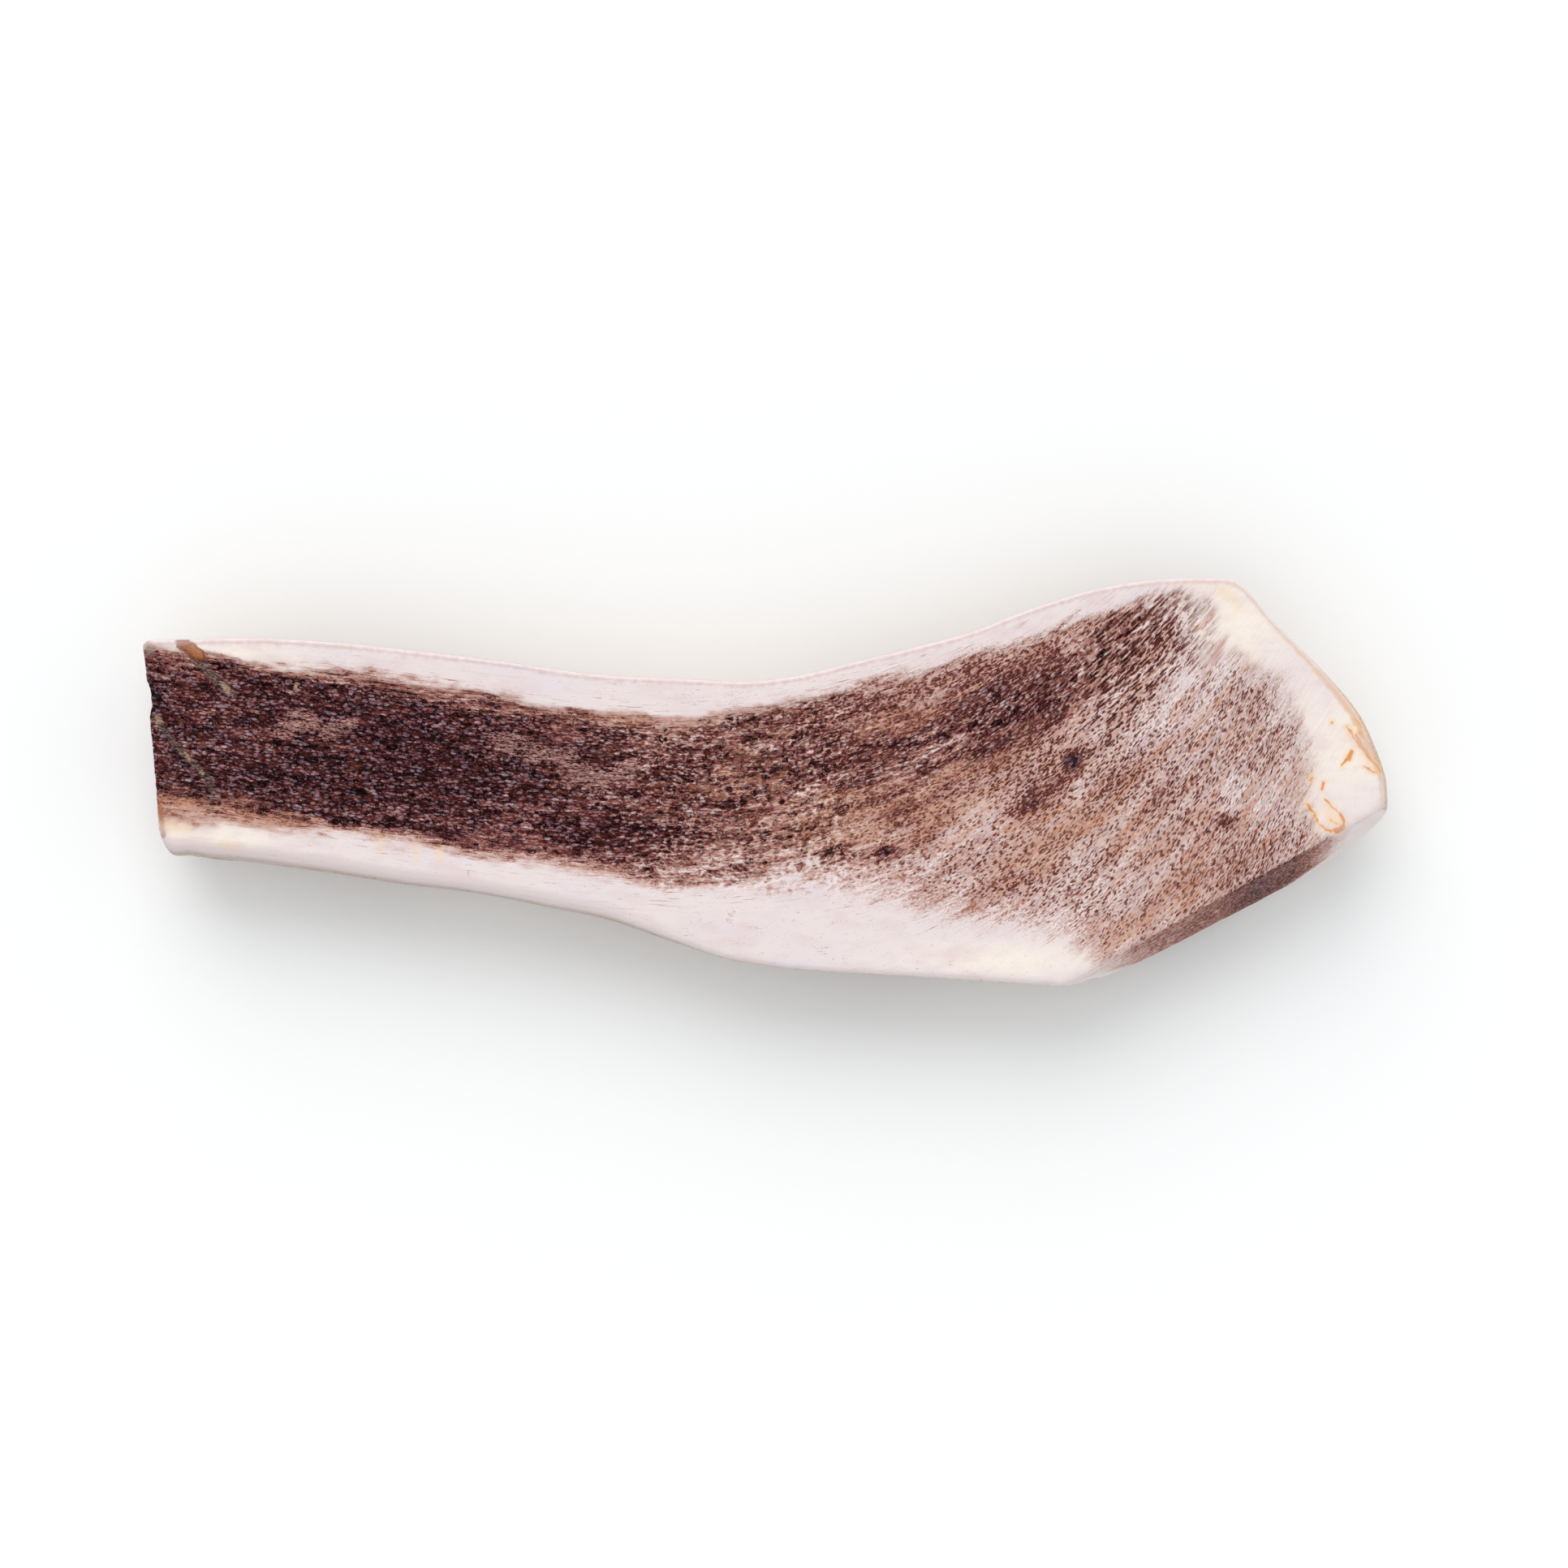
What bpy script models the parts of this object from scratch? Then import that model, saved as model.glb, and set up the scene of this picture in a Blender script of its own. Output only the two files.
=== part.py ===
"""Split elk antler: one half of a length of beam, sawn lengthwise, lying on its rounded back.

Metres, +Z up. The sawn face is level and looks up. +X runs from the square end cut to the flared end,
and the origin is under the middle of the piece, on the surface that it lies on.
"""

import math

import bmesh
import bpy
import numpy as np
from mathutils import Vector, noise

MM = 0.001

# Driving dimensions
REST_DEPTH = 20.0 * MM  # sawn face above the surface that the back rests on
BELLY = 20.9 * MM  # depth of the grown back before it is worn level
WIDEST_DEPTH = 3.5 * MM  # how far below the sawn face the beam is widest
BELLY_POWER = 0.85  # below 1 makes the back fuller than a half ellipse
FACET_START = (53.9 * MM, -32.5 * MM)  # the oblique cut on the sawn face, lower end
FACET_END = (103.0 * MM, -5.2 * MM)  # and its end at the tip
FACET_TILT = math.radians(17.5)  # the oblique cut leans outward going down
GROOVE_DEPTH = 0.9 * MM  # channels that blood vessels left along the back
RIDGE_DEPTH = 0.6 * MM  # fine lengthwise ridges between them
LUMP_DEPTH = 0.7 * MM  # broad unevenness of the back
CHANNELS = (60.0, 0.18)  # spacing of the channels: millimetres along, share of the way round
CHANNEL_WIDTH = 0.22  # the larger, the wider each channel
RIDGES = (34.0, 0.083)  # spacing of the ridges, in the same way
LUMPS = (19.0, 0.31)  # and of the lumps
EDGE_SHARE = 0.125  # the relief fades out this near the sawn edges
MARROW_SINK = 0.35  # millimetres that the soft marrow lies below the hard rim
PIT_DEPTH = 2.2  # and the further depth of its open cells, for a full wave of the grain
CELLS = (10.0, 2.8)  # spacing of the open cells: millimetres along and across the fibres
FRAYS = (9.0, 2.2)  # spacing of the frayed ends of fibres along the marrow's border
FRAY_REACH = 1.4  # millimetres that a frayed fibre reaches into the rim, for a full wave
SHELF = 1.2  # millimetres over which the rim slopes down to the marrow
STATIONS = 72
BACK_STEPS = 34
EDGE_CROWDING = 0.2  # draws the points of a ring towards the sawn edges
BED_STEPS = 24
BED_START, BED_END = -0.03, 1.03  # shares of each rib that the marrow's cutter spans
BED_LID = 4 * MM  # how far the cutter stands out of the sawn face and of the square cut

# Ribs across the sawn face, from the square cut to the tip, in millimetres:
# upper edge x, y, lower edge x, y, share of the full depth, upper and lower swell of the side wall
RIBS = (
    (-104.5, 23.2, -101.7, -8.2, 0.97, 0.4, 1.2),
    (-103.7, 23.7, -100.7, -10.1, 0.98, 0.5, 1.7),
    (-97.2, 23.9, -96.1, -11.0, 1.00, 0.6, 2.3),
    (-87.9, 24.2, -86.5, -12.0, 1.00, 0.6, 2.4),
    (-74.2, 23.6, -74.2, -13.8, 1.00, 0.6, 2.2),
    (-59.2, 22.1, -61.2, -16.0, 1.00, 0.6, 1.9),
    (-44.2, 20.3, -48.3, -17.8, 1.00, 0.6, 1.7),
    (-28.4, 18.1, -36.0, -20.1, 1.00, 0.6, 1.8),
    (-13.4, 17.3, -25.7, -22.2, 1.00, 0.6, 1.9),
    (-1.8, 16.9, -16.1, -25.7, 1.00, 0.6, 1.6),
    (6.4, 17.9, -6.6, -29.1, 1.00, 0.6, 1.3),
    (15.4, 20.1, 3.7, -30.9, 1.00, 0.6, 1.2),
    (24.8, 22.4, 14.6, -31.7, 1.00, 0.6, 1.2),
    (35.1, 25.2, 25.5, -32.3, 1.00, 0.6, 1.2),
    (45.3, 29.1, 36.4, -33.0, 1.00, 0.6, 1.2),
    (55.6, 32.3, 47.4, -33.8, 1.00, 0.6, 1.2),
    (65.1, 33.9, 58.3, -34.5, 1.00, 0.4, 0.7),
    (74.3, 34.3, 69.9, -33.6, 1.00, 0.4, 0.7),
    (79.4, 33.9, 77.4, -32.0, 0.99, 0.3, 0.7),
    (81.6, 32.2, 82.2, -30.5, 0.98, 0.3, 0.6),
    (84.8, 28.3, 88.4, -27.5, 0.94, 0.3, 0.5),
    (89.7, 23.1, 95.6, -22.7, 0.84, 0.3, 0.4),
    (95.2, 17.2, 100.9, -16.6, 0.68, 0.3, 0.3),
    (99.7, 11.2, 103.4, -9.7, 0.48, 0.3, 0.3),
    (102.6, 4.9, 104.3, -3.9, 0.25, 0.2, 0.2),
    (103.9, 1.5, 104.2, -0.3, 0.09, 0.1, 0.1),
)
DOME_START = 19  # rib from which the end wall rounds over
END_SWELL = 1.3 * MM  # how far the end wall stands out below the sawn edge

# Outline of the spongy marrow on the sawn face, in millimetres: upper border, flare, lower border.
# It runs past the square cut and past the oblique one, where the marrow is cut through.
MARROW_OUTLINE = (
    (-112.0, 23.4), (-101.8, 22.7), (-79.3, 19.6), (-54.7, 15.8), (-41.4, 13.4), (-11.4, 10.5),
    (3.3, 13.9), (15.4, 16.5), (33.6, 22.0), (49.6, 27.3), (73.3, 33.6), (79.6, 30.8), (78.8, 25.7),
    (87.8, 17.3), (93.4, 7.1), (91.8, -3.6), (104.0, -18.0), (70.0, -40.0), (56.0, -30.9),
    (51.3, -26.3), (28.3, -22.2), (18.7, -19.3), (-1.8, -16.6), (-17.5, -17.9), (-32.8, -16.0),
    (-59.7, -10.3), (-91.0, -6.2), (-112.0, -4.5),
)  # fmt: skip

# Direction of the bone's fibres on the sawn face: they run with the beam and rise towards the flare
FIBRE_X = (-105.0, -45.0, -12.0, 5.0, 24.0, 35.0, 62.0, 73.0, 87.0, 105.0)
FIBRE_DEGREES = (-7.0, -7.0, 0.0, 10.0, 20.0, 28.0, 40.0, 48.0, 56.0, 58.0)

BONE = (0.86, 0.79, 0.74)
MARROW = (0.12, 0.055, 0.045)


def smooth_through(at, knots, values):
    """A smooth curve through the values at the knots, read at other places."""
    values = np.asarray(values, float)
    slopes = np.gradient(values, knots, axis=0)
    span = np.clip(np.searchsorted(knots, at, side="right") - 1, 0, len(knots) - 2)
    width = knots[span + 1] - knots[span]
    step = ((at - knots[span]) / width)[:, None]
    width = width[:, None]
    start, end = values[span], values[span + 1]
    return (
        start * (1 + 2 * step) * (1 - step) ** 2
        + end * step**2 * (3 - 2 * step)
        + slopes[span] * width * step * (1 - step) ** 2
        - slopes[span + 1] * width * step**2 * (1 - step)
    )


def rib_knots():
    """Distance along the piece of each rib: the mean way that its two ends have come."""
    ends = np.array([rib[:4] for rib in RIBS])
    steps = np.diff(ends, axis=0)
    way = (np.hypot(steps[:, 0], steps[:, 1]) + np.hypot(steps[:, 2], steps[:, 3])) / 2
    return np.concatenate([[0.0], np.cumsum(way)])


KNOTS = rib_knots()


def ribs_at(along):
    """Upper edge, lower edge, depth, upper and lower swell, and end-wall swell, in metres."""
    rib = smooth_through(along, KNOTS, RIBS)
    dome = np.clip((along - KNOTS[DOME_START]) / (KNOTS[-3] - KNOTS[DOME_START]), 0, 1)
    return rib[:, :2] * MM, rib[:, 2:4] * MM, rib[:, 4] * BELLY, rib[:, 5:] * MM, dome * END_SWELL


def grain(size, along, across):
    """Smooth irregular waves between about -0.6 and 0.6, of one length along and one width across."""
    return noise.noise(Vector((along / size[0], across / size[1], size[0])))


def back_relief(along, share):
    """How far the back dips in at a distance along the piece and a share of the way round."""
    grooves = max(0.0, 1.0 - abs(grain(CHANNELS, along, share)) / CHANNEL_WIDTH)
    ridges = 0.5 + grain(RIDGES, along, share)
    lumps = 0.4 + grain(LUMPS, along, share)
    edge = min(1.0, share / EDGE_SHARE, (1.0 - share) / EDGE_SHARE)
    return edge * max(0.0, GROOVE_DEPTH * grooves + RIDGE_DEPTH * ridges + LUMP_DEPTH * lumps)


def section(along, upper, lower, depth, swell, end_swell):
    """Points round the back of one rib, from its upper edge under the belly to its lower edge."""
    relief = min(1.0, (depth / BELLY) ** 2)
    middle = (upper + lower) / 2
    half = np.linalg.norm(lower - upper) / 2
    across = (lower - upper) / (2 * half)
    points = []
    for step in range(BACK_STEPS + 1):
        share = step / BACK_STEPS
        turn = math.pi * share - EDGE_CROWDING * math.sin(2 * math.pi * share)
        drop = depth * math.sin(turn) ** BELLY_POWER
        swelling = math.sin(math.pi / 2 * min(1.0, drop / WIDEST_DEPTH))
        side = swell[0] if share < 0.5 else swell[1]
        dip = relief * back_relief(along, share)
        reach = (half + side * swelling - dip) * math.cos(turn)
        fall = drop * (1 - dip / BELLY)
        place = middle - across * reach
        lean = end_swell * swelling
        points.append((place[0] + lean, place[1], -min(fall, REST_DEPTH)))
    return points


def grown_half():
    """The half beam before the oblique cut: rings bridged one after another, and both ends closed."""
    bm = bmesh.new()
    along = np.linspace(0, KNOTS[-1], STATIONS)
    uppers, lowers, depths, swells, end_swells = ribs_at(along)
    before = None
    for index, way in enumerate(along):
        places = section(way, uppers[index], lowers[index], depths[index], swells[index], end_swells[index])
        ring = [bm.verts.new(place) for place in places]
        edges = [bm.edges.new((ring[i - 1], ring[i])) for i in range(len(ring))]
        if before is None:
            bm.faces.new(ring)
        else:
            bmesh.ops.bridge_loops(bm, edges=before + edges)
        before = edges
    bmesh.ops.contextual_create(bm, geom=before)
    bmesh.ops.recalc_face_normals(bm, faces=bm.faces)
    return bm


def saw_facet(bm):
    """Cuts off the stump at the flare, on a plane through the facet's edge, and closes the cut."""
    run = Vector((FACET_END[0] - FACET_START[0], FACET_END[1] - FACET_START[1], 0)).normalized()
    outward = Vector((run.y, -run.x, 0)) * math.cos(FACET_TILT) + Vector((0, 0, math.sin(FACET_TILT)))
    cut = bmesh.ops.bisect_plane(
        bm,
        geom=bm.verts[:] + bm.edges[:] + bm.faces[:],
        dist=1e-7,
        plane_co=(*FACET_START, 0),
        plane_no=outward,
        clear_outer=True,
    )
    rim = [item for item in cut["geom_cut"] if isinstance(item, bmesh.types.BMEdge)]
    bmesh.ops.holes_fill(bm, edges=rim, sides=0)
    bmesh.ops.recalc_face_normals(bm, faces=bm.faces)


def fibre_place(x, y):
    """Millimetres along and across the fibres, which all climb alike with x."""
    slopes = np.tan(np.radians(np.interp(np.linspace(FIBRE_X[0], x, 24), FIBRE_X, FIBRE_DEGREES)))
    way = x - FIBRE_X[0]
    return way * np.sqrt(1 + slopes**2).mean(), y - way * slopes.mean()


def inside_marrow(x, y):
    """Distance in millimetres from the marrow's outline, negative outside it."""
    starts = np.array(MARROW_OUTLINE)
    runs = np.roll(starts, -1, axis=0) - starts
    offsets = np.array((x, y)) - starts
    shares = np.clip((offsets * runs).sum(axis=1) / (runs**2).sum(axis=1), 0, 1)
    gap = np.hypot(*(offsets - shares[:, None] * runs).T).min()
    below = starts[:, 1] > y
    crossing = below != np.roll(below, -1)
    cross_x = starts[:, 0] + offsets[:, 1] * runs[:, 0] / np.where(runs[:, 1] == 0, 1e-9, runs[:, 1])
    return gap if (crossing & (cross_x > x)).sum() % 2 else -gap


def marrow_depth(x, y):
    """Depth of the marrow bed below the sawn face. It is negative where the rim is hard bone."""
    fibre, across = fibre_place(x, y)
    frayed = FRAY_REACH * grain(FRAYS, fibre, across)
    shelf = min(1.0, max(-1.0, (inside_marrow(x, y) + frayed) / SHELF))
    pits = PIT_DEPTH * max(0.0, grain(CELLS, fibre, across)) if shelf > 0 else 0.0
    return shelf * (MARROW_SINK + pits)


def marrow_cutter():
    """A slab over the sawn face whose underside is the pitted marrow bed."""
    bm = bmesh.new()
    rows = np.linspace(0, KNOTS[-3], STATIONS)
    uppers, lowers = ribs_at(rows)[:2]
    grid = []
    for index in range(STATIONS):
        row = []
        for step in range(BED_STEPS + 1):
            share = BED_START + (BED_END - BED_START) * step / BED_STEPS
            x, y = uppers[index] + (lowers[index] - uppers[index]) * share
            past_cut = BED_LID if index == 0 else 0.0
            row.append(bm.verts.new((x - past_cut, y, -marrow_depth(x / MM, y / MM) * MM)))
        grid.append(row)
    for near, far in zip(grid, grid[1:]):
        for i in range(BED_STEPS):
            bm.faces.new((near[i], near[i + 1], far[i + 1], far[i]))
    raised = bmesh.ops.extrude_face_region(bm, geom=bm.faces[:])
    for item in raised["geom"]:
        if isinstance(item, bmesh.types.BMVert):
            item.co.z = BED_LID
    bmesh.ops.recalc_face_normals(bm, faces=bm.faces)
    return bm


def finish(name, colour, roughness):
    material = bpy.data.materials.new(name)
    material.use_nodes = True
    shader = material.node_tree.nodes["Principled BSDF"]
    shader.inputs["Base Color"].default_value = (*colour, 1)
    shader.inputs["Roughness"].default_value = roughness
    return material


def to_object(bm, name, materials):
    mesh = bpy.data.meshes.new(name)
    bm.to_mesh(mesh)
    bm.free()
    for material in materials:
        mesh.materials.append(material)
    obj = bpy.data.objects.new(name, mesh)
    bpy.context.scene.collection.objects.link(obj)
    return obj


def rest_on_back(obj):
    """Moves the mesh so that the origin is under the middle of the piece, at its lowest level."""
    corners = np.array([vertex.co for vertex in obj.data.vertices])
    low, high = corners.min(axis=0), corners.max(axis=0)
    shift = Vector((-(low[0] + high[0]) / 2, -(low[1] + high[1]) / 2, -low[2]))
    for vertex in obj.data.vertices:
        vertex.co += shift
    return shift


def main():
    for obj in list(bpy.data.objects):
        bpy.data.objects.remove(obj, do_unlink=True)
    bone = finish("outer_bone", BONE, 0.45)
    marrow = finish("marrow", MARROW, 0.6)
    body = grown_half()
    saw_facet(body)
    antler = to_object(body, "antler", [bone, marrow])
    cutter = to_object(marrow_cutter(), "marrow_cutter", [bone, marrow])
    for face in cutter.data.polygons:
        face.material_index = 1
    shift = rest_on_back(antler)
    cutter.location = shift
    cutter.hide_render = True
    cutter.display_type = "WIRE"
    bed = antler.modifiers.new("marrow bed", "BOOLEAN")
    bed.operation = "DIFFERENCE"
    bed.solver = "EXACT"
    bed.object = cutter
    antler.data.shade_smooth()
    antler.data.set_sharp_from_angle(angle=math.radians(35))


main()
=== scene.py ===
# %% [markdown]
# # A split elk antler
# An antler is bone that grows and is shed each year: a hard, pale wall round a core of spongy marrow,
# which dries almost black with old blood. This piece is a length of beam sawn in half along its middle.
# It lies on its rounded back with the sawn face up, square-cut at one end and flaring at the other, where
# the beam began to fork. It is modelled in millimetres and turned into metres once, at the end.

# %% Load the packed solid
import math

import bmesh
import bpy
import numpy as np
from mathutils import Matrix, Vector, kdtree, noise
from mathutils.geometry import delaunay_2d_cdt


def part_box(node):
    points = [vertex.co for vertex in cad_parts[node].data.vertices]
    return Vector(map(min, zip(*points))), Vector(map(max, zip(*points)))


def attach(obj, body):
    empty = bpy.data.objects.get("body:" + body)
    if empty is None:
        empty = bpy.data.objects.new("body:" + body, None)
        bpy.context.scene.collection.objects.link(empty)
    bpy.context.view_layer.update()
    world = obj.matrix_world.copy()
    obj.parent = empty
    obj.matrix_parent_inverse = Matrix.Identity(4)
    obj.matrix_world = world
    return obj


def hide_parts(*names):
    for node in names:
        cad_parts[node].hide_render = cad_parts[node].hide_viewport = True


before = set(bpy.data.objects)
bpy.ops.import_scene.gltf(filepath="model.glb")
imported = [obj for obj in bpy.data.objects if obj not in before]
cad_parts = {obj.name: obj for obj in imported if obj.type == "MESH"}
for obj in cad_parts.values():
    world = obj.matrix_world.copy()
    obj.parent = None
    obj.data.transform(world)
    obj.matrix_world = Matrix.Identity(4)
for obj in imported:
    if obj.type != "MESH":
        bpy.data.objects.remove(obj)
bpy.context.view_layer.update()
MM = 0.001

# %% [markdown]
# ## The ribs
# The grown shape bends and flares in no regular way, so it is described as a ship's hull is: by ribs.
# Each rib is a straight line across the sawn face, with the depth of the back under it and how far the
# side wall swells out below the cut. A smooth curve through the ribs gives as many sections between them
# as we like. They are the same ribs that the solid was made from, so the fine surface lies on the solid.

# %% Ribs from the square cut to the tip
# Upper edge x, y, lower edge x, y, share of the full depth, upper and lower swell, in millimetres
RIBS = (
    (-104.5, 23.2, -101.7, -8.2, 0.97, 0.4, 1.2),
    (-103.7, 23.7, -100.7, -10.1, 0.98, 0.5, 1.7),
    (-97.2, 23.9, -96.1, -11.0, 1.00, 0.6, 2.3),
    (-87.9, 24.2, -86.5, -12.0, 1.00, 0.6, 2.4),
    (-74.2, 23.6, -74.2, -13.8, 1.00, 0.6, 2.2),
    (-59.2, 22.1, -61.2, -16.0, 1.00, 0.6, 1.9),
    (-44.2, 20.3, -48.3, -17.8, 1.00, 0.6, 1.7),
    (-28.4, 18.1, -36.0, -20.1, 1.00, 0.6, 1.8),
    (-13.4, 17.3, -25.7, -22.2, 1.00, 0.6, 1.9),
    (-1.8, 16.9, -16.1, -25.7, 1.00, 0.6, 1.6),
    (6.4, 17.9, -6.6, -29.1, 1.00, 0.6, 1.3),
    (15.4, 20.1, 3.7, -30.9, 1.00, 0.6, 1.2),
    (24.8, 22.4, 14.6, -31.7, 1.00, 0.6, 1.2),
    (35.1, 25.2, 25.5, -32.3, 1.00, 0.6, 1.2),
    (45.3, 29.1, 36.4, -33.0, 1.00, 0.6, 1.2),
    (55.6, 32.3, 47.4, -33.8, 1.00, 0.6, 1.2),
    (65.1, 33.9, 58.3, -34.5, 1.00, 0.4, 0.7),
    (74.3, 34.3, 69.9, -33.6, 1.00, 0.4, 0.7),
    (79.4, 33.9, 77.4, -32.0, 0.99, 0.3, 0.7),
    (81.6, 32.2, 82.2, -30.5, 0.98, 0.3, 0.6),
    (84.8, 28.3, 88.4, -27.5, 0.94, 0.3, 0.5),
    (89.7, 23.1, 95.6, -22.7, 0.84, 0.3, 0.4),
    (95.2, 17.2, 100.9, -16.6, 0.68, 0.3, 0.3),
    (99.7, 11.2, 103.4, -9.7, 0.48, 0.3, 0.3),
    (102.6, 4.9, 104.3, -3.9, 0.25, 0.2, 0.2),
    (103.9, 1.5, 104.2, -0.3, 0.09, 0.1, 0.1),
)
DOME_START = 19  # rib from which the end wall rounds over
END_SWELL = 1.3  # how far the end wall stands out below the sawn edge


def smooth_through(at, knots, values):
    """A smooth curve through the values at the knots, read at other places."""
    values = np.asarray(values, float)
    slopes = np.gradient(values, knots, axis=0)
    span = np.clip(np.searchsorted(knots, at, side="right") - 1, 0, len(knots) - 2)
    width = (knots[span + 1] - knots[span])[:, None]
    step = (at - knots[span])[:, None] / width
    return (
        values[span] * (1 + 2 * step) * (1 - step) ** 2
        + values[span + 1] * step**2 * (3 - 2 * step)
        + slopes[span] * width * step * (1 - step) ** 2
        - slopes[span + 1] * width * step**2 * (1 - step)
    )


rib_ends = np.array([rib[:4] for rib in RIBS])
rib_steps = np.hypot(*np.diff(rib_ends.reshape(-1, 2, 2), axis=0).T).mean(axis=0)
KNOTS = np.concatenate([[0.0], np.cumsum(rib_steps)])
print("length along the ribs:", round(KNOTS[-1], 1), "mm")

# %% [markdown]
# ## Irregular numbers
# Bone has no two cells alike, yet the model has to come out the same each time. So the randomness is
# worked out from whole numbers by mixing their bits. Two patterns are built on it. Ripples are random
# values on a lattice with smooth ramps between them. Cells are random points in a lattice, and a place
# belongs to its nearest one: where the nearest and the second nearest are equally far off, there is a
# wall, as in a sponge. The other helpers that are used all through the lesson stand here too.

# %% Ripples and cells
MIX_START, MIX_STEP, MIX_SPREAD = 2166136261, 16777619, 2246822519  # large odd numbers, which mix bits well


def scatter(*keys):
    """Repeatable random numbers between 0 and 1, one for each set of whole numbers."""
    mixed = np.full(np.broadcast(*keys).shape, MIX_START, np.uint32)
    for key in keys:
        mixed = (mixed ^ np.asarray(key, np.int64).astype(np.uint32)) * np.uint32(MIX_STEP)
        mixed = (mixed ^ (mixed >> np.uint32(15))) * np.uint32(MIX_SPREAD)
    return (mixed ^ (mixed >> np.uint32(13))) / 2.0**32


def ripples(places, seed):
    """Smooth irregular values between -1 and 1, about one lattice step long."""
    whole = np.floor(places).astype(int)
    part = places - whole
    part = part * part * (3 - 2 * part)
    total = np.zeros(len(places))
    for corner in np.ndindex(2, 2, 2):
        weight = np.prod(np.where(corner, part, 1 - part), axis=1)
        total += weight * scatter(*(whole + corner).T, seed)
    return 2 * total - 1


def cells(places, seed, looseness=0.9):
    """Distances to the nearest and the second nearest scattered point, and a number for the nearest."""
    whole = np.floor(places).astype(int)
    near = np.full(len(places), 9.0)
    second = near.copy()
    number = np.zeros(len(places))
    for step in np.ndindex(3, 3, 3):
        box = whole + step - 1
        centre = [0.5 + looseness * (scatter(*box.T, seed + axis) - 0.5) for axis in range(3)]
        gap = np.linalg.norm(box + np.transpose(centre) - places, axis=1)
        closer = gap < near
        second = np.where(closer, near, np.minimum(second, gap))
        number = np.where(closer, scatter(*box.T, seed + 3), number)
        near = np.minimum(near, gap)
    return near, second, number


def wander(places, reach, length, seed):
    """The places, each moved about a little, so that a pattern read there isn't regular."""
    moves = [ripples(places / length, seed + axis) for axis in range(3)]
    return places + np.transpose(moves) * reach


def smooth_step(low, high, value):
    """0 below low, 1 above high, and a smooth ramp between them."""
    share = np.clip((value - low) / (high - low), 0, 1)
    return share * share * (3 - 2 * share)


def blot(flat, x, y, length, width, lean):
    """A soft oval on the sawn face: 1 in its middle, with half its sizes and its lean in degrees."""
    turn = math.radians(lean)
    across = np.array([[math.cos(turn), -math.sin(turn)], [math.sin(turn), math.cos(turn)]])
    offset = (flat - (x, y)) @ across / (length, width)
    return np.exp(-(offset**2).sum(axis=1))


def nearest(points, spots):
    """Number and distance of the nearest of some points, for each of several places."""
    tree = kdtree.KDTree(len(points))
    for index, point in enumerate(points):
        tree.insert(point, index)
    tree.balance()
    found = [tree.find(spot) for spot in spots]
    return np.array([index for _, index, _ in found]), np.array([gap for _, _, gap in found])


print("sample of the random numbers:", scatter(np.arange(3), 7).round(3))

# %% [markdown]
# ## The grown back
# The hard outside of an antler carries lengthwise channels, which blood vessels left while it grew under
# its velvet, with ridges between them and small beads of bone. The big channels are the solid's own.
# Finer ridges and beads are pressed in here, because they are too small for the solid. The edge round the
# sawn face isn't a knife edge: it is worn round, so each section starts with a small arc.

# %% Sections of the back
REST_DEPTH = 20.0  # sawn face above the surface that the back rests on
BELLY = 20.9  # depth of the grown back before it is worn level
WIDEST_DEPTH = 3.5  # how far below the sawn face the beam is widest
BELLY_POWER = 0.85  # below 1 makes the back fuller than a half ellipse
EDGE_CROWDING = 0.2  # draws the points of a section towards the sawn edges
EASE = 0.6  # radius of the worn edge round the sawn face
EASE_STEPS = 4
STATIONS = 290
BACK_STEPS = 66
GROOVE_DEPTH, RIDGE_DEPTH, LUMP_DEPTH = 0.9, 0.6, 0.7
CHANNELS, RIDGES, LUMPS = (60.0, 0.18), (34.0, 0.083), (19.0, 0.31)  # spacing along, share of the way round
CHANNEL_WIDTH = 0.22
EDGE_SHARE = 0.125  # the relief fades out this near the sawn edges


def grain(size, along, across):
    """Smooth irregular waves between about -0.6 and 0.6, of one length along and one width across."""
    return noise.noise(Vector((along / size[0], across / size[1], size[0])))


def back_relief(along, share):
    """How far the back dips in at a distance along the piece and a share of the way round."""
    grooves = max(0.0, 1.0 - abs(grain(CHANNELS, along * MM, share)) / CHANNEL_WIDTH)
    ridges = 0.5 + grain(RIDGES, along * MM, share)
    lumps = 0.4 + grain(LUMPS, along * MM, share)
    edge = min(1.0, share / EDGE_SHARE, (1.0 - share) / EDGE_SHARE)
    return edge * max(0.0, GROOVE_DEPTH * grooves + RIDGE_DEPTH * ridges + LUMP_DEPTH * lumps)


share_table = np.linspace(0, 1, 2001)
turn_table = np.pi * share_table - EDGE_CROWDING * np.sin(2 * np.pi * share_table)


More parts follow.
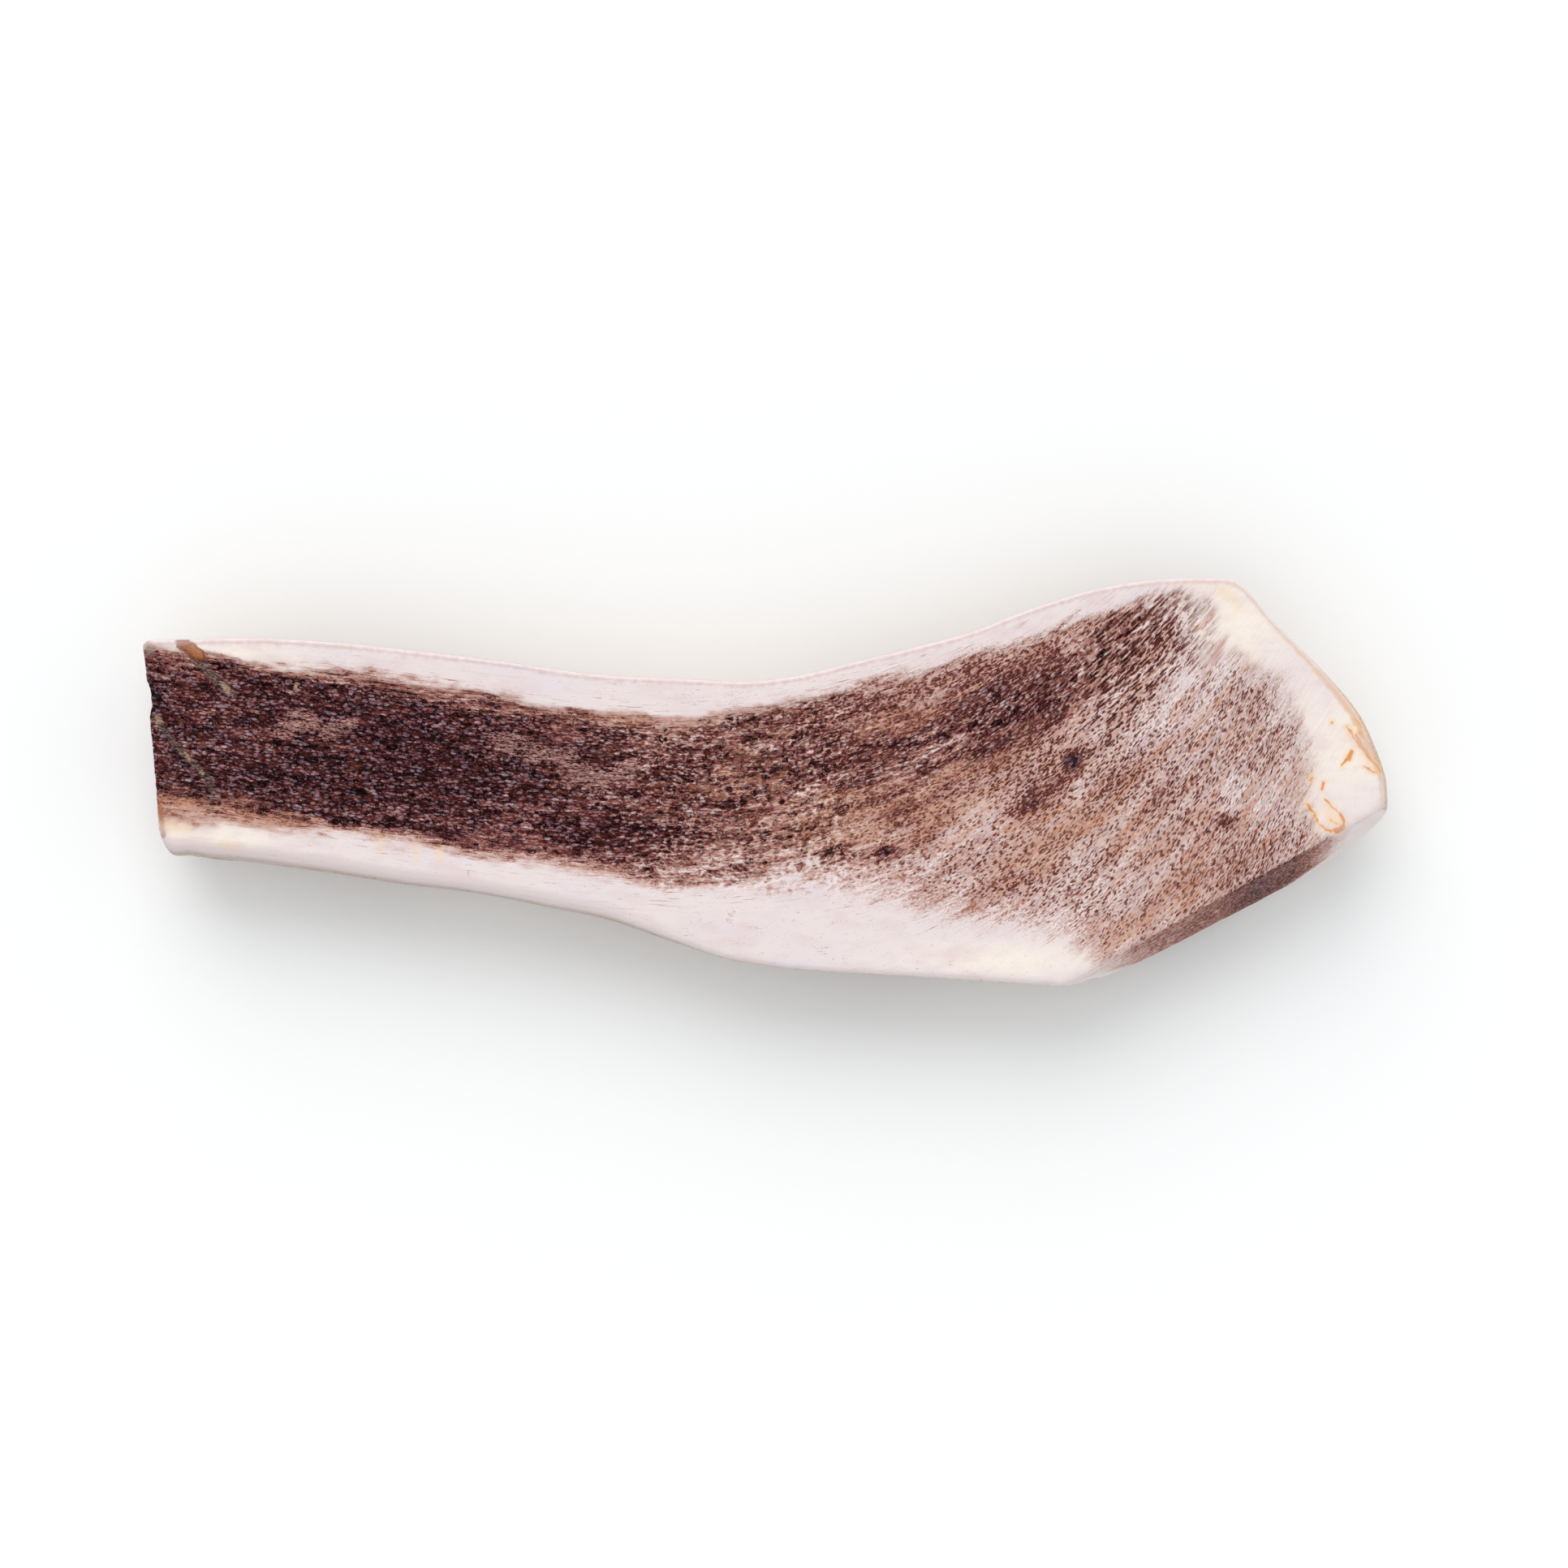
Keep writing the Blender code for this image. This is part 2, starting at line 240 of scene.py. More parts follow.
def section(along, upper, lower, depth, swell, end_swell):
    """Points round the back of one rib, from its upper edge to its lower edge, and how hollow each is."""
    ease = min(EASE, 0.3 * depth)
    arc = ease * (1 - np.cos(np.linspace(0, np.pi / 2, EASE_STEPS + 1)))
    edge = np.arcsin((arc / depth) ** (1 / BELLY_POWER))
    shares = np.linspace(0, 1, BACK_STEPS + 1)
    middle = edge[-1] + (1 - 2 * edge[-1] / np.pi) * np.interp(shares, share_table, turn_table)
    turn = np.concatenate([edge[:-1], middle, np.pi - edge[-2::-1]])
    share = np.interp(turn, turn_table, share_table)
    drop = depth * np.sin(turn).clip(0) ** BELLY_POWER
    swelling = np.sin(np.pi / 2 * np.minimum(1, drop / WIDEST_DEPTH))
    side = np.where(share < 0.5, *swell)
    dip = min(1.0, (depth / BELLY) ** 2) * np.array([back_relief(along, way) for way in share])
    fall = drop * (1 - dip / BELLY)
    inset = ease - np.sqrt(ease**2 - (ease - np.minimum(fall, ease)) ** 2)
    half = np.linalg.norm(lower - upper) / 2
    reach = (half + side * swelling - dip) * np.cos(turn) - inset * np.sign(np.cos(turn))
    place = (upper + lower) / 2 - np.outer(reach, (lower - upper) / (2 * half))
    place[:, 0] += end_swell * swelling
    return np.column_stack([place, -np.minimum(fall, REST_DEPTH)]), dip


def back_grid():
    """All the sections: a grid of places and of how hollow the surface is at each."""
    stations = np.linspace(0, KNOTS[-1], STATIONS)
    ribs = smooth_through(stations, KNOTS, RIBS)
    dome = np.clip((stations - KNOTS[DOME_START]) / (KNOTS[-3] - KNOTS[DOME_START]), 0, 1) * END_SWELL
    made = [
        section(way, rib[:2], rib[2:4], rib[4] * BELLY, rib[5:], end)
        for way, rib, end in zip(stations, ribs, dome)
    ]
    return np.array([places for places, _ in made]), np.array([dips for _, dips in made])


back, back_dips = back_grid()
print("back:", back.shape, "deepest dip", round(back_dips.max(), 2), "mm")

# %% [markdown]
# ## Along the fibres
# Everything in the bone follows its fibres: the cells are drawn out along them, stains soak along them
# and the marrow frays along them. They run with the beam and climb towards the flare. So each place gets
# a second set of coordinates: how far along the fibres, how far across them, and how deep. A pattern made
# in those coordinates is solid, and looks right on every cut: long cells on the sawn face, round ones on
# the square cut.

# %% Fibre coordinates
FIBRE_X = (-105.0, -45.0, -12.0, 5.0, 24.0, 35.0, 62.0, 73.0, 87.0, 105.0)
FIBRE_DEGREES = (-7.0, -7.0, 0.0, 10.0, 20.0, 28.0, 40.0, 48.0, 56.0, 58.0)
fibre_table_x = np.linspace(-106, 106, 1061)
fibre_slopes = np.tan(np.radians(np.interp(fibre_table_x, FIBRE_X, FIBRE_DEGREES)))
fibre_step = fibre_table_x[1] - fibre_table_x[0]
fibre_lengths = np.cumsum(np.sqrt(1 + fibre_slopes**2)) * fibre_step
fibre_climbs = np.cumsum(fibre_slopes) * fibre_step


def along_fibres(places):
    """Millimetres along the fibres, across them and down, for places on or in the antler."""
    x, y, z = places.T
    lengths = np.interp(x, fibre_table_x, fibre_lengths)
    return np.column_stack([lengths, y - np.interp(x, fibre_table_x, fibre_climbs), z])


print("fibres climb", round(fibre_climbs[-1] - fibre_climbs[0], 1), "mm from end to end")

# %% [markdown]
# ## Fine relief of the back
# A displacement has to follow the surface, so it moves each point along its normal, which is the cross
# product of the steps to its neighbours. It only ever moves inward: the solid's own size stays the limit.

# %% Press in the fine ridges, beads and vessel pores
LEFT_UP = np.array([RIBS[0][0] - RIBS[0][2], RIBS[0][1] - RIBS[0][3], 0])
LEFT_UP /= np.linalg.norm(LEFT_UP)
LEFT_OUT = np.array([-LEFT_UP[1], LEFT_UP[0], 0])  # the square cut faces this way
STRIA_DEPTH = 0.16
BEAD_HEIGHT = 0.34
PORE_DEPTH = 0.35


def inward_normals(grid):
    """Unit vectors that point into the body, at every point of the grid."""
    crossed = np.cross(np.gradient(grid, axis=0), np.gradient(grid, axis=1))
    lengths = np.linalg.norm(crossed, axis=2, keepdims=True)
    crossed = crossed / np.maximum(lengths, 1e-9)
    belly_up = np.sign(crossed[STATIONS // 2, (BACK_STEPS + 2 * EASE_STEPS) // 2, 2])
    return crossed * belly_up


def fine_dips(grid):
    """Depth of the fine ridges, beads and pores, faded out at the sawn edges and over the tip."""
    flat = along_fibres(grid.reshape(-1, 3))
    lengthwise = flat / (16, 1.1, 1.1)
    striae = 0.5 + 0.5 * ripples(lengthwise, 11)
    striae = 0.65 * striae + 0.35 * (0.5 + 0.5 * ripples(flat / (7, 0.7, 0.7), 12))
    near, second, number = cells(flat / (4.6, 2.3, 2.3), 21)
    beads = smooth_step(0.05, 0.5, second - near) * smooth_step(0.5, 0.9, number)
    crowd = smooth_step(-0.2, 0.6, ripples(flat / (38, 14, 14), 31))
    pore_near, _, pore_number = cells(flat / (5.5, 2.1, 2.1), 41)
    pores = smooth_step(0.26, 0.1, pore_near) * (pore_number > 0.55)
    dips = STRIA_DEPTH * striae + BEAD_HEIGHT * (1 - beads) * crowd + PORE_DEPTH * pores
    return (dips - dips.min()).reshape(grid.shape[:2])


steps_round = np.arange(back.shape[1])
from_edge = np.minimum(steps_round, steps_round[::-1]) - EASE_STEPS
edge_fade = smooth_step(0, 9, from_edge)
tip_fade = smooth_step(STATIONS - 2, STATIONS - 30, np.arange(STATIONS))
fine = fine_dips(back) * np.outer(tip_fade, edge_fade)
back = back + inward_normals(back) * fine[:, :, None]
back[0] -= np.outer((back[0] - (*RIBS[0][:2], 0)) @ LEFT_OUT, LEFT_OUT)
back_hollow = back_dips / 1.6 + fine / 0.8
print("fine relief: up to", round(fine.max(), 2), "mm")

# %% [markdown]
# ## The oblique cut
# At the flare a stump was sawn off on a slant, which left a flat facet that leans outward. Blender's
# bisect cuts a mesh with a plane and drops one side. The opening that it leaves, and the sawn face and
# the square cut, are closed later, each with a surface of its own.

# %% Cut the back along the facet's plane
FACET_START = (53.9, -32.5)
FACET_END = (103.0, -5.2)
FACET_TILT = math.radians(17.5)
facet_run = (Vector(FACET_END) - Vector(FACET_START)).normalized()
FACET_ALONG = np.array([facet_run.x, facet_run.y, 0])
FACET_OUT = np.array([facet_run.y, -facet_run.x, 0]) * math.cos(FACET_TILT) + (0, 0, math.sin(FACET_TILT))


def grid_faces(rows, columns):
    """Four-sided faces over a grid of points that are numbered row by row."""
    corner = np.arange(rows * columns).reshape(rows, columns)
    around = [corner[:-1, :-1], corner[1:, :-1], corner[1:, 1:], corner[:-1, 1:]]
    return np.stack(around, axis=-1).reshape(-1, 4)


def cut_back():
    """The back as places, hollows, faces and the ordered rim of its opening."""
    rows, columns = back.shape[:2]
    mesh = bpy.data.meshes.new("back")
    faces = grid_faces(rows, columns).tolist()
    faces.append(list(range((rows - 1) * columns, rows * columns)))
    mesh.from_pydata(back.reshape(-1, 3).tolist(), [], faces)
    hollow = mesh.attributes.new("hollow", "FLOAT", "POINT")
    hollow.data.foreach_set("value", back_hollow.ravel().astype(np.float32))
    bm = bmesh.new()
    bm.from_mesh(mesh)
    bpy.data.meshes.remove(mesh)
    everything = bm.verts[:] + bm.edges[:] + bm.faces[:]
    start = (*FACET_START, 0)
    bmesh.ops.bisect_plane(
        bm, geom=everything, dist=1e-4, plane_co=start, plane_no=FACET_OUT, clear_outer=True
    )
    bmesh.ops.recalc_face_normals(bm, faces=bm.faces)
    bm.verts.index_update()
    layer = bm.verts.layers.float["hollow"]
    places = np.array([vert.co for vert in bm.verts])
    hollows = np.array([vert[layer] for vert in bm.verts])
    faces = [[vert.index for vert in face.verts] for face in bm.faces]
    beside = {}
    for edge in bm.edges:
        if edge.is_boundary:
            one, other = (vert.index for vert in edge.verts)
            beside.setdefault(one, []).append(other)
            beside.setdefault(other, []).append(one)
    bm.free()
    rim = [min(beside)]
    while len(rim) < len(beside):
        onward = [vert for vert in beside[rim[-1]] if vert not in rim[-2:]]
        rim.append(onward[0])
    return places, hollows, faces, np.array(rim)


places, hollows, faces, rim = cut_back()
print("back after the cut:", len(places), "points, rim of", len(rim))

# %% [markdown]
# ## Where the marrow lies
# The marrow's border on the sawn face is an outline of a few points. What the surface needs to know is
# how far each place is inside it, so the distance to the outline is worked out, negative outside. On the
# two cross cuts the marrow also ends where the hard wall begins, so there the distance to the back counts
# as well.

# %% Distance into the marrow
MARROW_OUTLINE = (
    (-112.0, 23.4), (-101.8, 22.7), (-79.3, 19.6), (-54.7, 15.8), (-41.4, 13.4), (-11.4, 10.5),
    (3.3, 14.5), (15.4, 17.0), (33.6, 22.0), (49.6, 27.3), (71.0, 33.4), (76.5, 29.8), (78.4, 24.0),
    (87.8, 17.3), (93.4, 7.1), (91.8, -3.6), (104.0, -18.0), (70.0, -40.0), (56.0, -30.9),
    (51.3, -26.3), (28.3, -22.2), (18.7, -19.3), (-1.8, -16.6), (-17.5, -17.9), (-32.8, -16.0),
    (-59.7, -10.3), (-91.0, -6.2), (-112.0, -4.5),
)  # fmt: skip


def line_gap(flat, start, end):
    """Distance of places on the sawn face from a straight line between two points."""
    run = np.subtract(end, start)
    share = np.clip((flat - start) @ run / (run @ run), 0, 1)
    return np.linalg.norm(flat - start - share[:, None] * run, axis=1)


def path_gap(flat, path):
    """Distance from a line through several points."""
    return np.min([line_gap(flat, start, end) for start, end in zip(path, path[1:])], axis=0)


def inside(flat, outline):
    """Distance of places from a closed outline, negative outside it."""
    closed = outline + outline[:1]
    crossings = np.zeros(len(flat), int)
    for (x0, y0), (x1, y1) in zip(closed, closed[1:]):
        between = (y0 > flat[:, 1]) != (y1 > flat[:, 1])
        crossings += between & (flat[:, 0] < (x1 - x0) * (flat[:, 1] - y0) / ((y1 - y0) or 1) + x0)
    return np.where(crossings % 2, 1, -1) * path_gap(flat, closed)


sample = np.array([(-60.0, 0.0), (-60.0, 20.0)])
print("middle of the beam and its rim:", inside(sample, MARROW_OUTLINE).round(1), "mm inside")

# %% [markdown]
# ## Where the points go
# The marrow is full of holes half a millimetre wide, and the rim is plain. An even grid fine enough for
# the holes would waste most of its points, so points are laid close together along the fibres in the
# marrow, closely round the saw marks, and sparsely on the rim. A Delaunay triangulation joins any scatter
# of points inside an outline with well-shaped triangles.

# %% Saw marks, as lines on the sawn face
SAW_MARKS = (  # the points of a line, then half its width
    (((-97.3, 22.6), (-93.1, 18.3), (-89.3, 14.6)), 0.85),
    (((-102.4, 10.8), (-98.7, 6.0), (-96.2, 3.6), (-93.4, 0.4), (-92.5, -1.6)), 0.65),
)


def near_marks(flat):
    """Distance from the nearest saw mark."""
    return np.min([path_gap(flat, path) for path, _ in SAW_MARKS], axis=0)


print(len(SAW_MARKS), "saw marks")

# %% [markdown]
# Each region gets staggered rows, a little shaken so that no row shows. In the beam the rows follow the
# fibres and a step along them is twice as long as one across, because the cells there are long and
# narrow.

# %% Scatter the points
FIBRE_SPACING = (0.44, 0.215)  # along and across the fibres, in the beam's marrow
FLARE_SPACING, RIM_SPACING, CUT_SPACING, MARK_SPACING = 0.39, 1.0, 0.42, 0.38
MARROW_MARGIN, MARK_MARGIN, RIM_MARGIN = 1.3, 1.5, 1.9  # how far outside the marrow they end or start
MARK_REACH, MARK_ROOM = 1.4, 2.0  # points lie close up to here from a saw mark, and sparse from there on
FLARE_START = 24.0  # the flare's marrow, finer and rounder in its cells, begins at this x
EDGE_ROOM = 0.6  # share of a spacing that inner points keep from the outline
ROW_STEP, SHAKE = 0.866, 0.24  # height of an even triangle, and how far a point is shaken, in spacings


def hex_lattice(low, high, spacing):
    """Points in staggered rows, a little shaken, over a rectangle."""
    steps = (spacing, spacing * ROW_STEP) if np.isscalar(spacing) else spacing
    columns, rows = (int(np.ceil((high[i] - low[i]) / steps[i])) + 1 for i in range(2))
    column, row = np.meshgrid(np.arange(columns), np.arange(rows))
    column, row = column.ravel(), row.ravel()
    shake = np.column_stack([scatter(column, row, 5), scatter(column, row, 6)]) - 0.5
    return np.array(low) + (np.column_stack([column + 0.5 * (row % 2), row]) + SHAKE * shake) * steps


def face_lattice():
    """Points over the sawn face: along the fibres in the beam, even in the flare, sparse on the rim."""
    beam = hex_lattice((-105, -50), (FLARE_START, 34), FIBRE_SPACING)
    beam[:, 1] += np.interp(beam[:, 0], fibre_table_x, fibre_climbs)
    flare = hex_lattice((FLARE_START, -36), (96, 36), FLARE_SPACING)
    beam = beam[inside(beam, MARROW_OUTLINE) > -MARROW_MARGIN]
    flare = flare[inside(flare, MARROW_OUTLINE) > -MARROW_MARGIN]
    marked = hex_lattice((-105, -13), (106, 36), MARK_SPACING)
    marked = marked[(inside(marked, MARROW_OUTLINE) < -MARK_MARGIN) & (near_marks(marked) < MARK_REACH)]
    plain = hex_lattice((-106, -36), (106, 36), RIM_SPACING)
    plain = plain[(inside(plain, MARROW_OUTLINE) < -RIM_MARGIN) & (near_marks(plain) > MARK_ROOM)]
    return np.concatenate([beam, flare, marked, plain])


face_points = face_lattice()
print("sawn face:", len(face_points), "points before trimming")

# %% [markdown]
# ## Closing the three cuts
# The rim of the opening is walked once and split where it turns a corner: along the sawn face, down and
# up round the facet, and round the square cut. The sawn face meets the other two along straight lines,
# whose points both surfaces share, so the body comes out closed without any merging afterwards.

# %% Fill each cut with its own surface


def fill(places, outline_ids, along, across, points):
    """The places with those of a flat cut added, and the triangles over the cut."""
    edge = np.column_stack([places[outline_ids] @ along, places[outline_ids] @ across])
    points = points[inside(points, tuple(map(tuple, edge))) > 0]
    room = np.linalg.norm(edge - np.roll(edge, 1, axis=0), axis=1).mean() * EDGE_ROOM
    points = points[path_gap(points, np.vstack([edge, edge[:1]])) > room]
    flat = np.concatenate([edge, points])
    order = list(range(len(edge)))
    joined = delaunay_2d_cdt(flat.tolist(), [], [order], 1, 1e-6)
    origins = [sources[0] for sources in joined[3]]
    origin = places[outline_ids[0]]
    lift = points - (origin @ along, origin @ across)
    fresh = origin + lift[:, :1] * along + lift[:, 1:] * across
    ids = np.concatenate([outline_ids, len(places) + np.arange(len(points))])
    triangles = [[int(ids[origins[corner]]) for corner in triangle] for triangle in joined[2]]
    return np.concatenate([places, fresh]), triangles


def rim_part(mask):
    """The run of rim points that a test holds for, in their order round the rim."""
    start = next(i for i in range(len(rim)) if mask[i] and not mask[i - 1])
    ordered, kept = np.roll(rim, -start), np.roll(mask, -start)
    return ordered[: int(np.argmin(kept)) or len(kept)]


def straight(places, ends, spacing):
    """The places with new ones added on the line between two of them, and the numbers of the new ones."""
    start, end = places[list(ends)]
    count = int(np.linalg.norm(end - start) / spacing)
    shares = np.linspace(0, 1, count + 1)[1:-1, None]
    return np.concatenate([places, start + shares * (end - start)]), len(places) + np.arange(count - 1)


TOUCHING = 1e-3  # a rim point this near to a cut's plane belongs to that cut
back_count = len(places)
EAST, NORTH = np.eye(3)[:2]
facet_gap = (places[rim] - (*FACET_START, 0)) @ FACET_OUT
left_gap = (places[rim] - (*RIBS[0][:2], 0)) @ LEFT_OUT
facet_rim, left_rim = rim_part(np.abs(facet_gap) < TOUCHING), rim_part(np.abs(left_gap) < TOUCHING)
places, facet_line = straight(places, (facet_rim[-1], facet_rim[0]), CUT_SPACING)
places, left_line = straight(places, (left_rim[-1], left_rim[0]), FIBRE_SPACING[0])
print("points on the two straight lines:", len(facet_line), len(left_line))

# %% [markdown]
# The sawn face's outline is the rim with the two cut-away runs replaced by the straight lines across
# them.

# %% Join the surfaces


def sawn_outline():
    """The rim with the facet's run and the square cut's run replaced by their straight lines."""
    start = int(np.flatnonzero(rim == facet_rim[-1])[0])
    ordered = np.roll(rim, -start)
    left_at = int(np.flatnonzero(ordered == left_rim[0])[0])
    left_end = int(np.flatnonzero(ordered == left_rim[-1])[0])
    facet_at = int(np.flatnonzero(ordered == facet_rim[0])[0])
    return np.concatenate(
        [ordered[: left_at + 1], left_line[::-1], ordered[left_end : facet_at + 1], facet_line[::-1]]
    )


def close_cross_cut(places, cut_rim, line, outward, along):
    """The places and triangles with a cross cut closed: rim, straight line, and points between them."""
    across = np.cross(outward, along)
    at = places[cut_rim] @ np.column_stack([along, across])
    points = hex_lattice(at.min(axis=0), at.max(axis=0), CUT_SPACING)
    return fill(places, np.concatenate([cut_rim, line]), along, across, points)


places, face_faces = fill(places, sawn_outline(), EAST, NORTH, face_points)
face_end = len(places)
places, facet_faces = close_cross_cut(places, facet_rim, facet_line, FACET_OUT, FACET_ALONG)
facet_end = len(places)
places, left_faces = close_cross_cut(places, left_rim, left_line, LEFT_OUT, LEFT_UP)
faces += face_faces + facet_faces + left_faces
triangles = sum(len(face) - 2 for face in faces)
print("triangles:", triangles, "points:", len(places))

# %% [markdown]
# ## The open cells of the marrow
# The sawn marrow is a sponge cut open. In the beam its cells are long and narrow, in the bend they are
# round, in a dark band that sweeps up to the flare's corner they are large ovals with thin walls, and in
# the flare they are fine round holes. Each kind is one pattern of cells with its own size and depth,
# found in its own part of the face. Here and there packed bone dust from the saw fills them, and two
# scratches cross them.

# %% Which cells are found where
DARK_BAND = ((20, 4), (28, 5.5), (36, 9.5), (44, 13), (52, 17.5), (59, 22.5), (65.5, 27.5), (71.5, 33))
BAND_WIDTH = 5.0
BAND_END_WIDTH = 2.0
DUST_PATCHES = (  # the line that a patch follows, and its half width
    (((-80.5, 9.6), (-75.5, 10.2)), 2.0),
    (((-73.5, 8.6), (-69.5, 9.6)), 1.5),
    (((-44.5, 7.0), (-38.0, 5.0), (-33.0, 4.0)), 1.9),
    (((-31.0, 1.5), (-26.5, -0.6), (-22.5, 2.2)), 2.3),
    (((-17.5, -6.5), (-14.5, -6.6)), 0.9),
)


def found_at(flat):
    """How much of each kind of marrow there is at places on the face, from 0 to 1."""
    x = flat[:, 0]
    width = BAND_WIDTH + (BAND_END_WIDTH - BAND_WIDTH) * smooth_step(54, 70, x)
    band = np.exp(-((path_gap(flat, DARK_BAND) / width) ** 2))
    flare = smooth_step(22, 46, x)
    bend = smooth_step(-46, -24, x) * smooth_step(22, 8, x)
    beam = smooth_step(-14, -34, x)
    return {
        "beam": beam,
        "bend": bend * (1 - 0.5 * beam),
        "band": band,
        "fork": smooth_step(0, 14, x) * (1 - band) * (1 - 0.6 * flare),
        "flare": flare * (1 - band),
    }


flare_kinds = found_at(np.array([(60.0, 0.0)]))
print("kinds in the flare:", {kind: round(float(share[0]), 2) for kind, share in flare_kinds.items()})

# %% [markdown]
# Depth rises with the distance from the wall between two cells, so the walls stand and the middles are
# deep. The places are moved about a little first, which bends the walls, and no two cells are equally
# deep. A few large holes, where many cells have broken into one, are made in the same way.

# %% Depth of the cells and the holes
CELL_KINDS = {  # size along and across the fibres, thickness of the walls, depth
    "beam": ((2.1, 0.74), 0.05, 0.66),
    "bend": ((1.6, 0.95), 0.06, 0.6),
    "band": ((2.9, 1.3), 0.12, 0.66),
    "fork": ((1.8, 0.8), 0.1, 0.34),
    "flare": ((1.1, 0.8), 0.14, 0.2),
}
HOLE_SIZE, HOLE_DEPTH = (6.5, 2.0), 1.1
NOTCH = ((-104.0, 14.8), (-102.6, 13.2))  # a broken-out hole in the edge of the square cut


def dust_on(flat):
    """Where packed dust fills the cells, from 0 to 1, with frayed borders."""
    level = np.column_stack([flat, np.zeros(len(flat))])
    fray = 0.9 * ripples(level / (2.4, 1.1, 1), 71) + 0.6 * ripples(level / (0.8, 0.45, 1), 72)
    lumps = [smooth_step(1.2, 0.3, path_gap(flat, path) / half + 0.5 * fray) for path, half in DUST_PATCHES]
    return np.max(lumps, axis=0)


def open_cells(inner, kinds):
    """Depth of the open cells in millimetres, for places in fibre coordinates."""
    depth = np.zeros(len(inner))
    bent = wander(inner, (0.9, 0.34, 0.34), (2.6, 1.2, 1.2), 150)
    for seed, (kind, (size, wall, deep)) in enumerate(CELL_KINDS.items()):
        share = kinds[kind]
        here = share > 0.02
        near, second, number = cells(bent[here] / (*size, size[1]), 100 + 10 * seed)
        ragged = 0.10 * ripples(inner[here] / (0.8, 0.35, 0.35), 160 + seed)
        opening = smooth_step(wall, wall + 0.34, second - near + ragged)
        depth[here] = np.maximum(depth[here], deep * share[here] * opening * (0.25 + 0.75 * number))
    return depth


def open_holes(flat, inner, kinds):
    """Depth of the few large holes, where many cells have broken into one."""
    bent = wander(inner, (1.6, 0.7, 0.7), (2.2, 1.1, 1.1), 180)
    near, _, number = cells(bent / (*HOLE_SIZE, HOLE_SIZE[1]), 191)
    share = np.maximum(0.9 * kinds["beam"], 0.8 * kinds["bend"])
    holes = share * smooth_step(0.34, 0.16, near) * smooth_step(0.62, 0.8, number)
    return HOLE_DEPTH * np.maximum(holes, 1.4 * smooth_step(2.4, 0.6, line_gap(flat, *NOTCH)))


kinds_seen = found_at(face_points)
print("cells cut open:", {kind: int((share > 0.5).sum()) for kind, share in kinds_seen.items()}, "points")

# %% [markdown]
# ## Pressing the marrow in
# On the sawn face every point goes straight down, by the sag of the soft marrow and the depth of its
# cell. On the two cross cuts points go inward along the cut's own direction. Next to the sawn face they
# also sink with it, so that the corner between two surfaces doesn't fold over itself.

# %% Relief of the three cuts
MARROW_SINK = 0.3
SHELF = 2.2  # distance over which the rim slopes down to the marrow
FRAY = ((9.0, 2.2, 0.8), (3.2, 0.7, 0.65), (1.4, 0.4, 0.4))  # length, width and reach of frayed fibres
BAYS = (  # place, half length, half width, lean in degrees, how far the marrow reaches out there
    (-3, -15, 10, 5, 4, 3.2),
    (-35, -14, 8, 3, -8, -1.4),
    (-69, 18, 7, 3, -5, 1.4),
    (-49, 14.5, 7, 3, -7, 1.6),
    (-97, -9.5, 7, 3, -4, 1.0),
    (-96, 21, 7, 3, -4, 1.0),
    (45, 25, 9, 3, 20, -1.5),
)
WIDE_SHELF = 5.0  # how much wider that slope is where the border fades widely
SCRATCH_DEPTH = 0.5
CUT_CELL_SHARE = 0.7  # depth of the cells on the cross cuts, of that on the sawn face
FOLLOW_DEPTH = 2.5  # the cross cuts sink with the sawn face down to this depth
WALL = 3.6  # thickness of the hard wall on the square cut
WALL_START = 4.0  # depth below the sawn face at which the wall has its full thickness
FACET_WALL, TIP_WALL, CORNER_WALL = 0.2, 3.0, 1.6  # wall on the facet, and what it gains at its two ends


def frayed(inner):
    """How far the frayed fibres move the marrow's border, in millimetres."""
    return sum(
        reach * ripples(inner / (length, width, width), 81 + step)
        for step, (length, width, reach) in enumerate(FRAY)
    )


def scratch_on(flat):
    """Where the saw scratched the face, from 0 to 1."""
    return np.max([smooth_step(1.2, 0.3, path_gap(flat, path) / half) for path, half in SAW_MARKS], axis=0)


def marrow_at(spots):
    """Everything about the marrow at places on the cuts: distance in, cells' depth, dust and scratches."""
    flat, inner = spots[:, :2], along_fibres(spots)
    kinds = found_at(flat)
    within = inside(flat, MARROW_OUTLINE) + frayed(inner)
    within += sum(reach * blot(flat, *shape) for *shape, reach in BAYS)
    dust, scratch = dust_on(flat), scratch_on(flat)
    striae = 0.10 * (1 + ripples(inner / (4.5, 0.5, 0.5), 61)) * (kinds["beam"] + 0.5 * kinds["fork"])
    pit = np.maximum(open_cells(inner, kinds), open_holes(flat, inner, kinds)) + striae
    pit *= (1 - 0.7 * dust) * (1 - 0.6 * scratch)
    return within, pit, dust, scratch


def fade_width(flat):
    """0 where the marrow's border is narrow, 1 where it is widest, in the lower half of the flare."""
    x, y = flat.T
    return smooth_step(-6, 14, x) * smooth_step(4, -8, y) * smooth_step(74, 60, x)


def wall_at(spots):
    """Thickness of the hard wall at places on the two cross cuts: thick at the tip, thin along the facet."""
    x, depth = spots[:, 0], -spots[:, 2]
    facet_wall = FACET_WALL + TIP_WALL * smooth_step(86, 98, x) + CORNER_WALL * smooth_step(68, 58, x)
    return np.where(x > 0, facet_wall, WALL) * smooth_step(0, WALL_START, depth)


print("frayed fibres move the border by up to", sum(reach for *_, reach in FRAY), "mm")

# %% [markdown]
# All of this is now read once for every point of the three cuts. On the cross cuts the marrow also ends
# at the hard wall, so there the smaller of the two distances counts.

